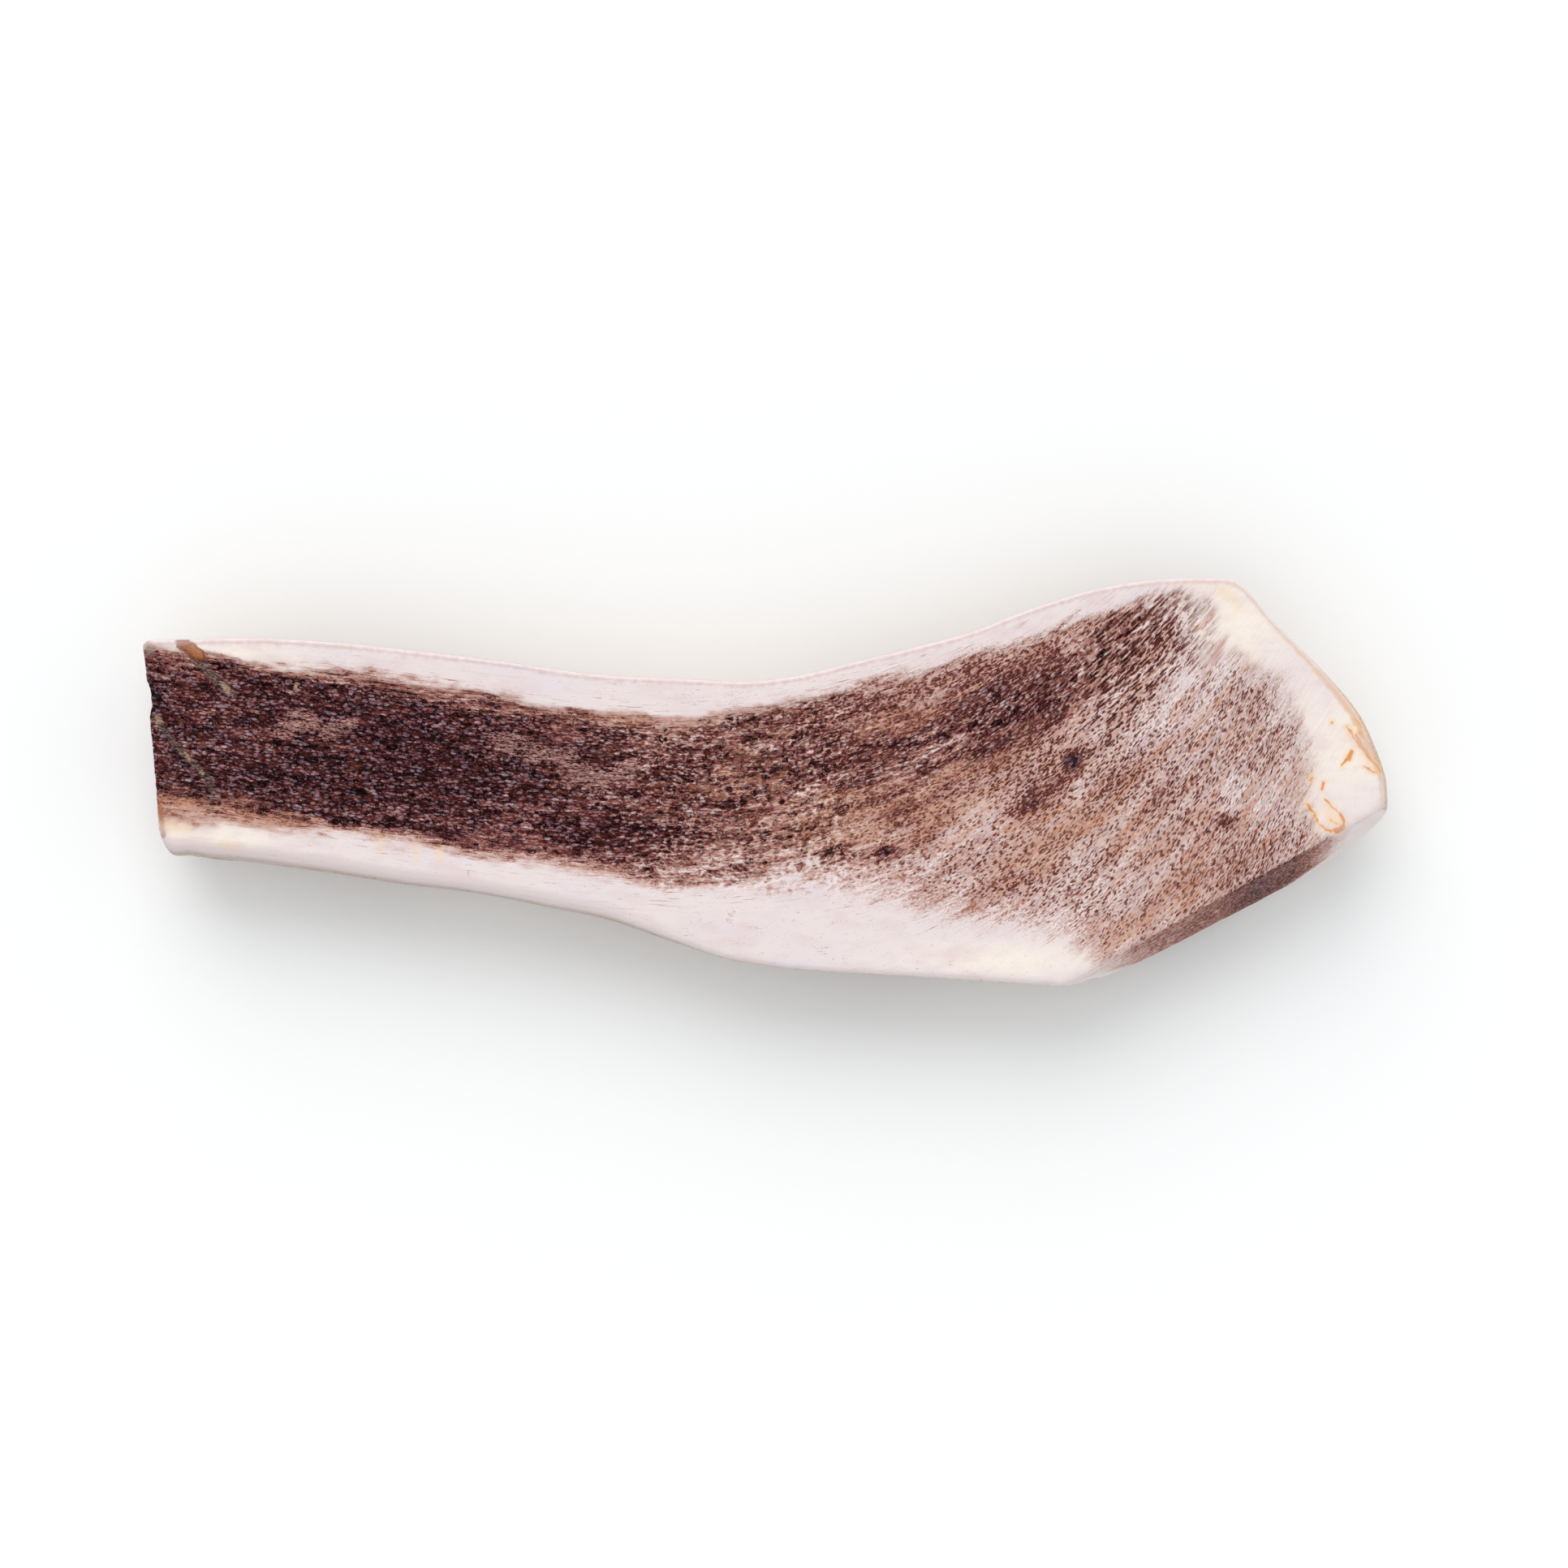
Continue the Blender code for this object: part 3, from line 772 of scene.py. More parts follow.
# %% Read the marrow at every point of the cuts
cuts = np.arange(back_count, len(places))
cross, on_square = cuts >= face_end, cuts >= facet_end
on_facet = cross & ~on_square
within, pit, dust, scratch = marrow_at(places[cuts])
cross_spots = places[cuts[cross]]
hard = nearest(places[:back_count], cross_spots)[1] - wall_at(cross_spots)
hard += 0.5 * frayed(along_fibres(cross_spots))
within[cross] = np.minimum(within[cross], hard)
soft = smooth_step(0, 1, (within + 0.2) / (SHELF + 0.2 + WIDE_SHELF * fade_width(places[cuts, :2])))
bed = soft * (MARROW_SINK + pit) + SCRATCH_DEPTH * scratch
print("deepest cell:", round(bed.max(), 2), "mm; marrow share:", round((within > 0).mean(), 2))

# %% [markdown]
# ## Moving the points
# Displacement is nothing but moved points, so it can be done on the list of places before there is a
# mesh. A point on a cross cut sinks as far as the nearest point of the straight line that its cut shares
# with the sawn face, less and less with its depth. It is then pressed in along its own cut's direction.

# %% Move the points
line_ids = np.concatenate([facet_line, left_line])
below = nearest(places[line_ids], cross_spots * (1, 1, 0))[0]
drop = bed.copy()
drop[cross] = bed[line_ids - back_count][below] * np.maximum(0, 1 - np.abs(cross_spots[:, 2]) / FOLLOW_DEPTH)
places[cuts, 2] -= drop
press = CUT_CELL_SHARE * soft * pit
for side, outward in ((on_facet, FACET_OUT), (on_square, LEFT_OUT)):
    places[cuts[side]] -= press[side, None] * outward
print("moved", len(cuts), "points")

# %% [markdown]
# ## Wearing the edges
# A sawn edge that has been handled is never quite sharp. Moving each point near an edge part of the way
# to the middle of its neighbours, a few times over, rounds the edge without adding any geometry.

# %% Round the edges between the cuts
WEAR_REACH = 0.75
WEAR_ROUNDS, WEAR_STEP = 4, 0.5


def face_edges(faces):
    """Pairs of points that share an edge, once each."""
    sides = []
    for size in sorted({len(face) for face in faces}):
        group = np.array([face for face in faces if len(face) == size])
        sides.append(np.stack([group, np.roll(group, -1, axis=1)], axis=-1).reshape(-1, 2))
    return np.unique(np.sort(np.concatenate(sides), axis=1), axis=0)


edges = face_edges(faces)
edge_ids = np.concatenate([line_ids, facet_rim, left_rim])
worn = nearest(places[edge_ids], places)[1] < WEAR_REACH
for _ in range(WEAR_ROUNDS):
    total, count = np.zeros_like(places), np.zeros(len(places))
    for one, other in (edges.T, edges.T[::-1]):
        np.add.at(total, one, places[other])
        np.add.at(count, one, 1)
    places[worn] += WEAR_STEP * (total[worn] / count[worn, None] - places[worn])
print("worn points:", int(worn.sum()))

# %% [markdown]
# ## How light the face is
# The marrow isn't one colour. In the beam it is almost black, in the flare a pale mauve-grey, and in
# between it is brown, with darker blots where blood collected. One number says how light each place is: 0
# is dried blood and 1 is clean bone. It is built up as a painter would, from broad washes to single
# blots, and a fade over the border, wide in the lower half of the flare and narrow in the beam.

# %% Where the blots are
BLOTS = (  # place, half length, half width, lean in degrees, change of tone
    (-72, -1, 10, 5, -7, -0.05),
    (-50, 0, 9, 4, -7, -0.06),
    (-88, -5, 8, 3, -7, 0.04),
    (-40, -6, 8, 4, -4, 0.04),
    (-22, -9, 11, 4.5, -2, -0.22),
    (-103.5, 14, 1.8, 2.2, 0, -0.3),
    (-12, 3, 7, 5, 0, -0.08),
    (-100, 20, 6, 2.5, -8, 0.14),
    (52.3, 3.6, 1.7, 1.2, 45, -0.5),
    (52, 3.2, 4.2, 2.6, 45, -0.16),
    (50, -0.2, 2.2, 1.4, 30, -0.18),
    (46, -3.6, 4.2, 2.6, 35, -0.26),
    (20.7, -11.7, 1.8, 1.0, 20, -0.46),
    (12.5, -11.2, 2.6, 1.3, 20, -0.34),
    (78, -6.7, 1.6, 1.0, 20, -0.36),
    (14, -5, 9, 5, 10, -0.07),
    (20, -3, 14, 6, 15, -0.05),
    (-3.2, -15.0, 5.0, 1.6, 5, -0.22),
    (8, -3, 6, 3, 10, 0.06),
    (76, 26, 5.5, 8, -35, 0.1),
    (80, 20, 4, 3, 50, 0.05),
    (66, 14, 4, 3, 45, -0.05),
    (30, -8, 6, 3.5, 20, -0.06),
    (58, 15, 6, 4, 40, -0.06),
    (37, 7, 7, 4, 25, -0.12),
    (25, -5, 6, 4, 20, -0.09),
    (25, 12.5, 8, 4, 20, 0.1),
    (58, 21, 6, 3.5, 35, 0.05),
    (60, 2, 7, 4.5, 45, -0.09),
    (31, -17, 7, 3, 25, 0.05),
    (56, -10, 6, 3, 40, 0.04),
    (66, 12, 8, 4, 45, 0.03),
    (83, -3, 5, 6, 50, 0.16),
    (80, 13, 6, 3.5, 50, -0.07),
    (76, -14, 9, 5, 30, -0.09),
    (84, 1.5, 5, 2.5, 50, -0.02),
    (44, -17, 8, 3, 20, -0.05),
    (20, -6, 10, 4, 18, -0.05),
    (84, -6, 5, 4, 45, -0.05),
    (0, 15.5, 14, 1.6, 2, -0.06),
    (-4, -9.5, 9, 4, 5, -0.1),
    (35, 17, 18, 5, 20, 0.09),
    (53, 22, 4, 3.5, 45, 0.27),
    (61, 22, 3, 3, 45, -0.12),
    (44, 18.5, 4, 2.5, 20, 0.08),
    (67.5, 23, 4, 3.5, 60, -0.14),
    (44, 1, 6, 4.5, 45, -0.17),
    (66, -3, 4, 3, 40, -0.1),
    (81, -9, 6, 2.5, 30, 0.06),
    (28, 10, 5, 3, 20, 0.08),
    (28, 5.5, 5, 3, 20, -0.08),
    (17, 6, 5, 3, 20, 0.07),
    (-100, -2, 4, 3, -45, 0.12),
    (-33, 10, 5, 2.5, -7, 0.12),
    (-19, 10.5, 4, 2.5, 0, -0.1),
    (-45, -10.5, 12, 2.5, -8, 0.17),
    (-27, 2.5, 4, 3, 0, -0.06),
    (60, 14, 3, 3, 0, 0.08),
    (84, 14, 5, 3, 50, -0.06),
    (4, -5, 7, 4, 5, -0.07),
)
print(len(BLOTS), "blots, of them darker:", sum(change < 0 for *_, change in BLOTS))

# %% [markdown]
# The depth of each cell counts too: its wall is painted lighter, for its pale bone and as a painted
# highlight where it catches the light, and its bottom is painted darker, for the dark marrow in it and as
# painted shade. Packed dust has one dull tone. The slanting cut is nearly seen edge-on, so it has a simple
# row of tones from one end to the other.

# %% Lay in the lightness
BEAM_TONE, BEND_TONE, FLARE_TONE = 0.385, 0.42, 0.72
BAND_DARKENING = 0.2
LIT_WALLS, DARK_HOLES = 0.14, 0.24
DUST_TONE, DUST_SHARE = 0.42, 0.8
FACET_TONES = (  # x, lightness of the slanting cut
    (55, 1.0), (59, 0.9), (63, 0.72), (70, 0.65), (76, 0.59),
    (83, 0.48), (90, 0.5), (93, 0.64), (97, 0.94), (99, 1.0),
)  # fmt: skip


def washes(flat, inner):
    """Broad lightness of the marrow."""
    x, y = flat.T
    kinds = found_at(flat)
    tone = BEAM_TONE + (BEND_TONE - BEAM_TONE) * smooth_step(-30, -5, x)
    lean = 3.2 - 2.0 * smooth_step(45, 65, x)
    tone += (FLARE_TONE - BEND_TONE) * smooth_step(-4, 46, x - lean * y + 8 * smooth_step(50, 75, x))
    tone += 0.05 * smooth_step(60, 74, x) * smooth_step(6, 14, y)
    broken = smooth_step(-0.2, 0.35, ripples(inner / (14, 3.5, 3.5), 201) + 0.35)
    tone -= BAND_DARKENING * kinds["band"] * broken
    tone += sum(change * blot(flat, *shape) for *shape, change in BLOTS)
    clumps = 0.05 + 0.07 * (kinds["bend"] + kinds["band"] + 0.5 * kinds["fork"])
    tone += 0.07 * ripples(inner / (16, 4, 4), 202) + clumps * ripples(inner / (5, 1.8, 1.8), 203)
    return tone


def border_fade(flat, within):
    """0 on clean bone to 1 well inside the marrow."""
    wide = fade_width(flat)
    right = smooth_step(64, 80, flat[:, 0])
    left = smooth_step(-76, -92, flat[:, 0]) * smooth_step(4, -4, flat[:, 1])
    reach = 4.9 + 3.4 * wide + 2.6 * right + 3.6 * left
    start = -1.2 - 1.6 * wide - 1.0 * right - 2.0 * left
    return smooth_step(0, 1, (within - start) / reach)


flat, inner = places[cuts, :2], along_fibres(places[cuts])
kinds = found_at(flat)
tone = washes(flat, inner)
lit = (1 - smooth_step(0, 0.3, pit)) * (kinds["bend"] + 1.2 * kinds["band"] + 0.6 * kinds["fork"])
# Painted light by depth: shallow cell walls lighter, deep cell bottoms darker as painted shade
tone += LIT_WALLS * lit - DARK_HOLES * smooth_step(0.15, 0.8, pit) * (1 - 0.5 * kinds["flare"])
tone += dust * (DUST_TONE - tone) * DUST_SHARE
facet_tone = np.interp(flat[:, 0], *zip(*FACET_TONES)) + 0.06 * ripples(inner / (9, 2.5, 2.5), 204)
hard_bone = np.zeros(len(cuts))
hard_bone[cross] = 1 - smooth_step(-1.0, 0.8, hard)
facet_tone += (1 - facet_tone) * hard_bone
tone = np.where(on_facet, facet_tone, 1 + (tone - 1) * border_fade(flat, within))
print("tone:", np.percentile(tone, (5, 50, 95)).round(2))

# %% [markdown]
# ## Tints
# Fat and marrow left warm, tan tints in the bend and the lower flare. The pale rim is pinkish, and
# cream-coloured at both ends of the piece. Both are soft ovals, laid over each other by taking the
# strongest at each place. The rust and orange marks have harder edges, so they are drawn later, in the
# finish.

# %% Lay in the tints
WARM_SPOTS = (
    (14, -6, 14, 5, 12), (48, -9, 10, 5, 35), (62, -25, 8, 4, 30), (30, -6, 10, 4, 20), (36, 3, 8, 3, 25),
    (-2, 0, 8, 5, 5), (70, -18, 9, 5, 30), (24, 10, 9, 3, 15), (57, -7, 6, 3, 40), (66, -11, 5, 3, 35),
    (82, 22, 3, 4, 50), (90, -1, 3, 5, 0), (-98, -3, 8, 4, -7), (-85, -6, 9, 2.5, -7),
    (-70, 13, 12, 2.5, -5), (-20, 12, 12, 3, 0),
)  # fmt: skip
CREAM_SPOTS = (
    (-92, -9.5, 12, 3, -5), (-88, 21.5, 10, 2.5, -2), (98, 6, 9, 11, 60), (80, 27, 8, 9, 60),
    (90, -8, 6, 5, 30), (40, -30, 16, 3, 0), (-98, -7, 6, 4, 0),
)  # fmt: skip
TAN_SPOTS = (
    (-90.3, 15.8, 1.7, 0.7, -46), (-101.7, 10.6, 1.1, 0.7, -40), (-96.9, 4.4, 1.5, 0.45, -48),
    (-94.4, 1.5, 0.9, 0.35, -48), (-78.6, 16.2, 1.0, 0.5, 60),
)  # fmt: skip


def strongest(spots):
    """The strongest of several soft ovals, at each place of the cuts."""
    return np.max([blot(flat, *shape) for shape in spots], axis=0)


warm, cream, tan = strongest(WARM_SPOTS), strongest(CREAM_SPOTS), strongest(TAN_SPOTS)
warm[on_facet] = 0.15
print("warm, cream and tan reach", [round(float(value.max()), 2) for value in (warm, cream, tan)])

# %% [markdown]
# ## What the finish has to know
# A material can't see where a point is on the antler, only what the mesh tells it. So each point carries
# a set of numbers: how light it is, how much of each kind of marrow is there, how much dust, how far the
# sawn edge is. The back has two of its own: how hollow the surface is, and whether it is grown skin or a
# worn edge.

# %% Numbers for every point
VERGE_WIDTH = 2.4  # how far the frayed border reaches


def spread(values, where, elsewhere=0.0):
    """Numbers for all points, from those of some."""
    numbers = np.full(len(places), elsewhere)
    numbers[where] = values
    return numbers


on_cuts = {
    "soft": soft,
    "dust": dust,
    "scratch": scratch,
    "warm": warm,
    "cream": cream,
    "tan": tan,
    "fine": np.where(on_facet, 0.4, kinds["flare"] + 0.6 * kinds["fork"]),
    "coarse": np.where(on_facet, 0, kinds["bend"] + kinds["band"] + 0.4 * kinds["fork"]),
    "long": smooth_step(50, 60, flat[:, 0]) * smooth_step(15, 5, path_gap(flat, DARK_BAND)),
    "plain": smooth_step(-30, 0, flat[:, 0]) * smooth_step(6, -6, flat[:, 1]),
    "verge": np.exp(-((within / VERGE_WIDTH) ** 2)),
}
surface = {name: spread(values, cuts) for name, values in on_cuts.items()}
surface["tone"] = spread(tone, cuts, 1.0)
surface["hollow"] = spread(hollows, slice(back_count))
surface["skin"] = spread(smooth_step(0.25, 1.1, -places[:back_count, 2]), slice(back_count))
surface["from_edge"] = nearest(places[rim], places)[1]
middle_y = np.interp(places[:, 0], (-105, 0, 80, 105), (8, -4, 0, -6))
surface["upper"] = smooth_step(-2, 6, places[:, 1] - middle_y)
print("numbers at each point:", len(surface))
print("furthest from a sawn edge:", round(surface["from_edge"].max(), 1), "mm")

# %% [markdown]
# ## One closed mesh
# The places become one mesh with the four surfaces joined, moved onto the solid and held inside its box.
# Smooth shading hides the triangles; the relief is far larger than they are.

# %% Make the mesh


def give(mesh, name, kind, field, values):
    """Stores numbers or places at the points of a mesh under a name that the finish can read."""
    numbers = values.ravel().astype(np.float32)
    mesh.attributes.new(name, kind, "POINT").data.foreach_set(field, numbers)


def bone_mesh():
    """One closed mesh in metres, in the solid's frame, with what the finish needs to know at each point."""
    low, high = (np.array(corner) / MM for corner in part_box("antler"))
    middle = (places.min(axis=0) + places.max(axis=0)) / 2
    shift = np.array([*((low + high) / 2 - middle)[:2], high[2]])
    print("shift onto the solid:", shift.round(3), "mm")
    set_down = np.clip(places + shift, low, high) * MM
    mesh = bpy.data.meshes.new("antler_bone")
    mesh.from_pydata(set_down.tolist(), [], faces)
    for name, values in surface.items():
        give(mesh, name, "FLOAT", "value", values)
    give(mesh, "fibre", "FLOAT_VECTOR", "vector", along_fibres(places))
    give(mesh, "place", "FLOAT_VECTOR", "vector", places)
    mesh.shade_smooth()
    bm = bmesh.new()
    bm.from_mesh(mesh)
    bmesh.ops.recalc_face_normals(bm, faces=bm.faces)
    print("open edges:", sum(not edge.is_manifold for edge in bm.edges))
    print("volume:", round(bm.calc_volume() / MM**3 / 1000, 1), "cubic centimetres")
    bm.to_mesh(mesh)
    bm.free()
    return mesh


antler = bpy.data.objects.new("antler_bone", bone_mesh())
bpy.context.scene.collection.objects.link(antler)
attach(antler, "root")
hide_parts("antler")

# %% [markdown]
# ## A way to write materials
# A material is a network of small nodes. Written one by one they hide the idea, so a class wraps a
# socket: its operators add the Math nodes that work out a sum, and one method adds any other node.

# %% The signal class


class Signal:
    """One output of a material's nodes, which can be used in sums."""

    def __init__(self, tree, socket=None):
        self.tree, self.socket = tree, socket

    def node(self, kind, settings=None, values=None, output=0):
        """Adds a node: its settings first, then the values or links of its sockets."""
        made = self.tree.nodes.new("ShaderNode" + kind)
        for name, value in (settings or {}).items():
            if name == "stops":
                while len(made.color_ramp.elements) < len(value):
                    made.color_ramp.elements.new(0.5)
                for element, (position, colour) in zip(made.color_ramp.elements, value):
                    element.position, element.color = position, (*colour, 1)
            else:
                setattr(made, name, value)
        for name, value in (values or {}).items():
            if isinstance(value, Signal):
                self.tree.links.new(value.socket, made.inputs[name])
            else:
                made.inputs[name].default_value = value
        return Signal(self.tree, made.outputs[output] if made.outputs else None)

    def maths(self, operation, first, second):
        """Adds a Math node that takes two values."""
        return self.node("Math", {"operation": operation}, {0: first, 1: second})

    def __add__(self, other):
        return self.maths("ADD", self, other)

    def __sub__(self, other):
        return self.maths("SUBTRACT", self, other)

    def __rsub__(self, other):
        return self.maths("SUBTRACT", other, self)

    def __mul__(self, other):
        return self.maths("MULTIPLY", self, other)

    __radd__ = __add__
    __rmul__ = __mul__

    def ramp(self, low, high):
        """0 at low, 1 at high, with smooth ends."""
        values = {"Value": self, "From Min": low, "From Max": high}
        return self.node("MapRange", {"interpolation_type": "SMOOTHSTEP"}, values)

    def between(self, first, second):
        """The first colour where this is 0, the second where it is 1."""
        return self.node("Mix", {"data_type": "RGBA"}, {0: self, 6: first, 7: second}, output=2)

    def stretched(self, *scale):
        """A place whose three coordinates are scaled."""
        return self.node("VectorMath", {"operation": "MULTIPLY"}, {0: self, 1: scale})

    def shaken(self, reach, scale):
        """A place moved about irregularly, so that what is read there isn't regular."""
        place = self.stretched(*scale)
        drift = self.node("TexNoise", None, {"Vector": place, "Scale": 1.0, "Detail": 1.0}, output=1)
        drift = drift.node("VectorMath", {"operation": "SUBTRACT"}, {0: drift, 1: (0.5, 0.5, 0.5)})
        return drift.node("VectorMath", {"operation": "MULTIPLY_ADD"}, {0: drift, 1: reach, 2: self})

    def noise(self, *scale, detail=3.0):
        """Even noise around 0, finer the larger the scales."""
        place = self.stretched(*scale)
        return self.node("TexNoise", None, {"Vector": place, "Scale": 1.0, "Detail": detail}) - 0.5

    def cells(self, *scale, feature="F1", dimensions="3D"):
        """Distance from the nearest scattered point, or from the border between two of them."""
        settings = {"feature": feature, "voronoi_dimensions": dimensions}
        return self.node("TexVoronoi", settings, {"Vector": self.stretched(*scale), "Scale": 1.0})

    def number(self):
        """The random number of the cell that a distance was measured in."""
        return Signal(self.tree, self.socket.node.outputs["Color"]) * 1.0


print("a signal has:", ", ".join(name for name in vars(Signal) if not name.startswith("_")))

# %% [markdown]
# ## Lines and colours
# A stain with a hard edge is best drawn by its distance from a line, as on the mesh but with nodes, once
# for each part of the line. Colours are written as a screen shows them, 0 to 255, and turned into the
# light values that the renderer works in. A thin layer over a colour is a mix by how much there is of the
# layer.

# %% Drawn lines, screen colours and thin layers


def least(first, second):
    """The smaller of two values."""
    return first.maths("MINIMUM", first, second)


def from_segment(place, start, end):
    """Distance of a place on the sawn face from a straight line between two points."""
    run = np.subtract(end, start)
    offset = place.node("VectorMath", {"operation": "SUBTRACT"}, {0: place, 1: (*start, 0)})
    aim = {0: offset, 1: (*(run / (run @ run)), 0)}
    share = offset.node("VectorMath", {"operation": "DOT_PRODUCT"}, aim, output=1)
    share = share.node("Clamp", None, {"Value": share})
    foot = share.node("VectorMath", {"operation": "SCALE"}, {0: (*run, 0), "Scale": share})
    return foot.node("VectorMath", {"operation": "DISTANCE"}, {0: offset, 1: foot}, output=1)


def from_lines(place, lines):
    """Distance from the nearest of several drawn lines, less half its width."""
    gap = None
    for path, half in lines:
        for start, end in zip(path, path[1:]):
            here = from_segment(place, start, end) - half
            gap = least(gap, here) if gap else here
    return gap


def linear(red, green, blue):
    """A screen colour, 0 to 255, as the light values that Blender works in."""
    return tuple(
        value / 255 / 12.92 if value <= 10 else ((value / 255 + 0.055) / 1.055) ** 2.4
        for value in (red, green, blue)
    )


def tint(*colour):
    """A screen colour as a socket's value, with its alpha."""
    return (*linear(*colour), 1)


def glazed(colour, *layers):
    """A colour under thin layers: how much there is of each, and the layer's own colour."""
    for amount, layer in layers:
        colour = amount.between(colour, layer if isinstance(layer, Signal) else tint(*layer))
    return colour


print("bone white:", [round(value, 2) for value in linear(236, 222, 220)])

# %% [markdown]
# ## The finish
# One material covers the whole piece, because bone and marrow are one substance. The lightness from the
# mesh picks a colour on a ramp from dried blood to clean bone. Noise drawn out along the fibres is added
# first, most where the tone is in the middle, so that the marrow's border breaks up into streaks. The
# back has a ramp of its own, from brown hollows to worn ridges.

# %% Tones of the face and of the grown back
TONES = (
    (0.0, linear(20, 3, 4)), (0.15, linear(50, 15, 16)), (0.3, linear(88, 40, 44)),
    (0.45, linear(123, 70, 68)), (0.6, linear(160, 107, 96)), (0.75, linear(193, 151, 140)),
    (0.9, linear(216, 189, 182)), (1.0, linear(236, 222, 220)),
)  # fmt: skip
SKIN = (
    (0.0, linear(234, 222, 208)), (0.25, linear(208, 186, 164)), (0.5, linear(168, 136, 110)),
    (0.75, linear(122, 88, 66)), (1.0, linear(70, 46, 34)),
)  # fmt: skip
print("stops:", len(TONES), "on the face,", len(SKIN), "on the back")

# %% Start the material
bone = bpy.data.materials.new("antler_bone")
bone.use_nodes = True
tree = bone.node_tree
tree.nodes.clear()
start = Signal(tree)


def at_point(name, output="Fac"):
    """One of the numbers or places that the mesh gives at each point."""
    return start.node("Attribute", {"attribute_name": name}, output=output)


fibre = at_point("fibre", "Vector")
tone, soft, upper = at_point("tone"), at_point("soft"), at_point("upper")
fine, coarse, verge = at_point("fine"), at_point("coarse"), at_point("verge")
skin, hollow, dust, scratch = at_point("skin"), at_point("hollow"), at_point("dust"), at_point("scratch")
print("read from the mesh:", len(tree.nodes), "sets of numbers")

# %% [markdown]
# The grain is noise at four sizes, each drawn out along the fibres: streaks, threads, hairs and grit.
# Three patterns of cells stand for what is too small for the mesh: round flecks in the flare, slits next
# to the dark band, and lumps with crevices between them in the dark beam. Each is let in only where the
# mesh says that its kind of marrow is. In the dark beam the lump tops are painted lighter, as a highlight,
# and the crevices between them darker, as painted shade.

# %% Mix the bone
bent = fibre.shaken((0.9, 0.4, 0.4), (0.6, 1.3, 1.3))
streaks = bent.noise(0.12, 1.4, 1.4)
threads = bent.noise(0.45, 3.4, 3.4)
hairs = bent.noise(0.16, 3.6, 3.6)
grit = bent.noise(2.0, 4.5, 4.5, detail=2.0)
chance = 0.76 - tone * 1.5
flecks = bent.cells(1.5, 2.9, 2.9)
flecks_dark = flecks.ramp(0.75, 0.3) * (flecks.number() + chance).ramp(0, 0.5) * tone.ramp(1, 0.9)
long = at_point("long")
slits = bent.cells(0.34, 1.3, 1.0, dimensions="2D")
slits_dark = slits.ramp(0.42, 0.26) * (long - slits.number()).ramp(0, 0.25) * tone.ramp(1, 0.95)
lumps = bent.cells(0.9, 1.9, 1.9)
lump_tops = lumps.ramp(0.7, 0.3) * (lumps.number() * 1.2 + 0.1)
crevice_shade = bent.cells(0.9, 1.9, 1.9, feature="DISTANCE_TO_EDGE").ramp(0.16, 0.02)
webs = bent.cells(0.62, 1.3, 1.3, feature="DISTANCE_TO_EDGE").ramp(0.24, 0.05)
middle_tone = tone * (1 - tone) * 4
fibrous = streaks * 1.2 + threads * 0.9 + verge * (hairs * 2.0 + threads * 0.8)
deepened = tone + middle_tone * ((1 - fine * 0.7) * fibrous + grit * 0.8)
deepened = deepened + soft * coarse * (webs * (0.36 - tone * 0.25) + lumps.number() * 0.36 - 0.24)
deepened = deepened + soft * fine * (0.12 - flecks_dark * 0.54) - flecks_dark * middle_tone * 0.14
deepened = deepened - soft * slits_dark * 0.5
beam = tone.ramp(0.6, 0.4) * soft
# Painted highlight on the lump tops and painted shade in the crevices between them
deepened = deepened + beam * (lump_tops * 0.36 - crevice_shade * 0.18 - 0.05)
deepened = deepened - verge * tone.ramp(0.7, 1.0) * hairs.ramp(0.1, 0.24) * 0.4
border = fine * tone.ramp(0.73, 0.84) * tone.ramp(1.0, 0.9)
deepened = deepened + border * (grit * 0.8 + threads * 0.5 + streaks * 0.5 + 0.03)
face_colour = deepened.node("ValToRGB", {"stops": TONES}, {"Fac": deepened})
print("nodes so far:", len(tree.nodes))

# %% [markdown]
# Between dark and light, bone isn't one row of browns. Thin layers of tint go over the ramp's colour, one
# for each thing that is seen on the real piece, and ramps keep each to its own tones: lavender and cream
# lie on the pale rim, tan in the bend, peach and lilac grains in the flare, russet in the dark beam. The
# cold bluish-grey on the lump tops of the dark beam is no tint of the bone but a painted glint.

# %% Tint the pale bone and the flare
lavender = fibre.noise(0.05, 0.16, 0.16).ramp(-0.05, 0.25) * tone.ramp(0.8, 1.0)
cream = at_point("cream") * tone.ramp(0.75, 1.0)
warmth = at_point("warm") * tone.ramp(0.35, 0.65) * tone.ramp(1.0, 0.85)
warmth = warmth * (grit * 1.5 + streaks).ramp(-0.2, 0.25)
face_colour = glazed(
    face_colour,
    (lavender * 0.4, (226, 216, 228)),
    (cream * 0.85, (252, 240, 226)),
    (warmth * 0.8, (196, 138, 102)),
)
ground = fine * soft * deepened.ramp(0.5, 0.72)
peach = (streaks * 1.8 + hairs * 1.6 + fibre.noise(0.1, 0.35, 0.35) * 1.6).ramp(0.05, 0.4)
lilac = (threads * 1.5 + fibre.noise(0.12, 0.35, 0.35, detail=4.0) * 2.2 - border * 0.1).ramp(-0.04, -0.42)
face_colour = glazed(
    face_colour,
    (ground * peach * 0.6, (204, 146, 116)),
    (fine * soft * flecks_dark * tone.ramp(0.2, 0.5) * 0.45, (122, 62, 46)),
    (fine * tone.ramp(0.36, 0.1) * 0.6, (48, 36, 50)),
    (ground * lilac * 0.35, (194, 170, 174)),
)
print("nodes so far:", len(tree.nodes))

